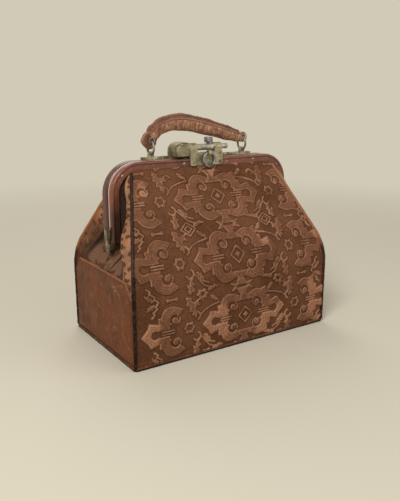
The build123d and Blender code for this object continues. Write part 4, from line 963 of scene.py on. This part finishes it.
# painted shade: dark in the grooves beside the seam
tan_hide.colour(tan_hide.mix(tan_hide.carried("groove"), both, "#3f2416"))
tan_hide.relief((tan_hide.cells(0.0012), 0.0002), (tan_hide.noise(0.005, 5.0), 0.0007))
handle_hide = tan_hide.material

half_span = EYE.x
shares = np.stack([GRIP_PLACE_SHARES, GRIP_RISE_SHARES, GRIP_THICK_SHARES, GRIP_DEPTH_SHARES], -1)
line = smooth_through(shares, GRIP_STEPS)
centre_x = line[:, 0] * half_span
centre_z = EYE.z + line[:, 1] * HANDLE_RISE
lean = np.arctan2(np.gradient(centre_z), np.gradient(centre_x))
angle = np.linspace(0, 360, GRIP_SIDES, endpoint=False)
turn = np.radians(angle)[None, :]
from_seam = (angle - SEAM_ANGLE) % 360
on_strip = ease(0, 5, from_seam) * ease(150, 110, from_seam)


def beside_seam(offset, width):
    """1 on the line at an offset in degrees from the seam, falling off over a width."""
    return np.exp(-(((from_seam + 180) % 360 - 180 - offset) / width) ** 2)


thick = line[:, 2:3] * HANDLE_THICKNESS / 2
deep = line[:, 3:4] * HANDLE_DEPTH / 2
share = np.linspace(0, 1, GRIP_STEPS)
end_fade = ease(-0.02, 0.1, share) * ease(1.02, 0.9, share)
fray = rng.normal(size=(GRIP_STEPS, GRIP_SIDES))
fray = np.clip(fray, 0, 2.5) * np.exp(-(((angle - FRAY_ANGLE) / FRAY_WIDTH) ** 2))
fray = (fray + np.roll(fray, 1, 0) + np.roll(fray, 1, 1)) / 3
grooves = beside_seam(-3, 3.6) + 0.9 * beside_seam(30, 3.4)
swell = (STRIP_STEP * on_strip + FRAY_LENGTH * fray - GROOVE_DEPTH * grooves) * end_fade[:, None]
wave = ROLL_WAVE * np.sin(np.linspace(0, 40, GRIP_STEPS))[:, None] * np.cos(2 * turn)
front = -(deep + swell + wave) * np.cos(turn)
above = (thick + swell + wave) * np.sin(turn)
grip_x = centre_x[:, None] - above * np.sin(lean)[:, None]
grip_z = centre_z[:, None] + above * np.cos(lean)[:, None]
grip_points = np.stack([grip_x, EYE.y + front, grip_z], -1)
grip = piece("grip", grip_points, capped(GRIP_STEPS, GRIP_SIDES), handle_hide)
carry(grip, "strip", np.tile(on_strip, GRIP_STEPS))
carry(grip, "edge", np.tile(beside_seam(3, 4.5), GRIP_STEPS))
carry(grip, "groove", np.tile(np.clip(grooves, 0, 1), GRIP_STEPS))
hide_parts("handle_grip")
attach(grip, "handle")
for number, offset in enumerate(SEWN_OFFSETS):
    row = grip_points[SEWN_STEPS, round((SEAM_ANGLE + offset) / 360 * GRIP_SIDES)]
    sewn = stitches(f"handle_stitches_{number}", row, *SEWN_STITCH)
    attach(sewn, "handle")

TAB_RADIUS = 7.0 * MM
STRAP_TURNS = (0, 23, 60, 95, 123, 155, 170, 183, 195, 210, 230, 253, 275, 296, 344, 360)
STRAP_REACHES = (7.0, 7.6, 9.0, 11.0, 12.0, 11.6, 12.2, 13.0, 12.0, 11.2, 10.8, 11.4, 10.0, 8.9, 7.3, 7.0)
TAB_HOLE = 3.35 * MM
TAB_EDGE = 1.4 * MM
TAB_SIDES = 72
TAB_PLAIN_ROUNDS = 5
for end, end_name in ENDS.items():
    turn = np.linspace(0, 2 * math.pi, TAB_SIDES, endpoint=False)
    reach = np.full(TAB_SIDES, TAB_RADIUS)
    if end < 0:
        reach = np.interp(np.degrees(turn), STRAP_TURNS, STRAP_REACHES) * MM
    half = TAB_THICKNESS / 2
    bends = np.linspace(0, math.pi / 2, 7)
    rounded = [(TAB_EDGE * (math.sin(a) - 1), half - TAB_EDGE * (1 - math.cos(a))) for a in bends]
    rounded += [(inset, -depth) for inset, depth in rounded[::-1]]
    hole = np.full(TAB_SIDES, TAB_HOLE)
    profile = [(hole, -half), (hole, half)] + [(reach + inset, depth) for inset, depth in rounded]
    rounds = []
    for radius, depth in profile + profile[:1]:
        level = np.full(TAB_SIDES, EYE.y - depth)
        out = end * half_span + radius * np.cos(turn)
        rounds.append(np.stack([out, level, EYE.z + radius * np.sin(turn)], -1))
    tab = piece(end_name + "_tab", rounds, net(len(rounds), TAB_SIDES, True, closed=True), handle_hide)
    corners = len(rounds) * TAB_SIDES
    carry(tab, "strip", np.full(corners, 1.0 if end < 0 else 0.4))
    carry(tab, "edge", np.where(np.arange(corners) < TAB_PLAIN_ROUNDS * TAB_SIDES, 0.0, 0.5))
    carry(tab, "groove", np.zeros(corners))
    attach(tab, "handle")

# The stage: a pale floor that fades into a plain background of the same paper colour.
# Three soft lamps and an even warm sky light it.
# The camera stands where the drawing was seen from.
PAPER = "#d1cab7"
FLOOR = "#bdb6a4"
FLOOR_HALF = 8.0
FADE_FROM = 0.45
FADE_TO = 1.6
CAMERA_PLACE = (-424.9 * MM, -641.2 * MM, 306.0 * MM)
CAMERA_YAW = 33.40
CAMERA_PITCH = 14.59
FOCAL_PIXELS = 584.5
IMAGE_LONG_SIDE = 501
camera = bpy.data.cameras.new("camera")
camera.sensor_width = 36
camera.lens = camera.sensor_width * FOCAL_PIXELS / IMAGE_LONG_SIDE
camera_object = bpy.data.objects.new("camera", camera)
camera_object.location = CAMERA_PLACE
camera_object.rotation_euler = (math.radians(90 - CAMERA_PITCH), 0, math.radians(-CAMERA_YAW))
bpy.context.scene.collection.objects.link(camera_object)
bpy.context.scene.camera = camera_object
bpy.context.scene.view_settings.view_transform = "Standard"

floor_paper = Finish("floor_paper", 1.0, Specular_IOR_Level=0.0)
floor_paper.shader.inputs["Base Color"].default_value = paint(FLOOR)
middle = floor_paper.step("ShaderNodeVectorMath", {0: floor_paper.place}, operation="LENGTH")
faded = floor_paper.between(middle.outputs["Value"], FADE_FROM, FADE_TO)
glow = floor_paper.step("ShaderNodeEmission", {"Color": paint(PAPER)})
blend = floor_paper.step("ShaderNodeMixShader", {0: faded})
floor_paper.tree.links.new(floor_paper.shader.outputs[0], blend.inputs[1])
floor_paper.tree.links.new(glow.outputs[0], blend.inputs[2])
floor_paper.tree.links.new(blend.outputs[0], floor_paper.tree.nodes["Material Output"].inputs["Surface"])
floor_corners = [(x * FLOOR_HALF, y * FLOOR_HALF, 0) for x, y in ((-1, -1), (1, -1), (1, 1), (-1, 1))]
floor = piece("floor", floor_corners, [(0, 1, 2, 3)], floor_paper.material)
floor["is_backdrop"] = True

world = bpy.data.worlds.new("studio")
bpy.context.scene.world = world
world.use_nodes = True
sky = world.node_tree
plain = sky.nodes["Background"]
plain.inputs["Color"].default_value = (1.0, 0.97, 0.93, 1.0)
plain.inputs["Strength"].default_value = 0.45
backdrop = sky.nodes.new("ShaderNodeBackground")
backdrop.inputs["Color"].default_value = paint(PAPER)
path = sky.nodes.new("ShaderNodeLightPath")
seen = path.outputs["Is Camera Ray"]
for ray in ("Is Glossy Ray", "Is Transmission Ray"):
    either = sky.nodes.new("ShaderNodeMath")
    either.operation = "MAXIMUM"
    sky.links.new(seen, either.inputs[0])
    sky.links.new(path.outputs[ray], either.inputs[1])
    seen = either.outputs[0]
chosen = sky.nodes.new("ShaderNodeMixShader")
sky.links.new(seen, chosen.inputs[0])
sky.links.new(plain.outputs[0], chosen.inputs[1])
sky.links.new(backdrop.outputs[0], chosen.inputs[2])
sky.links.new(chosen.outputs[0], sky.nodes["World Output"].inputs["Surface"])

# Place, width and power of each lamp, all turned to the middle of the bag
LAMPS = (
    ((-1.0, -0.75, 1.25), 0.6, 24.0),
    ((1.0, -1.2, 0.8), 1.2, 7.0),
    ((0.3, 1.0, 1.3), 0.8, 8.0),
)
LAMP_TARGET = (0, 0, 0.12)
for number, (place, width, power) in enumerate(LAMPS):
    lamp = bpy.data.lights.new(f"lamp_{number}", "AREA")
    lamp.size = width
    lamp.energy = power
    lamp_object = bpy.data.objects.new(f"lamp_{number}", lamp)
    lamp_object.location = place
    towards = np.subtract(LAMP_TARGET, place)
    tilt = math.atan2(math.hypot(towards[0], towards[1]), -towards[2])
    lamp_object.rotation_euler = (tilt, 0, math.atan2(towards[0], -towards[1]) + math.pi)
    bpy.context.scene.collection.objects.link(lamp_object)

low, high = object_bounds()
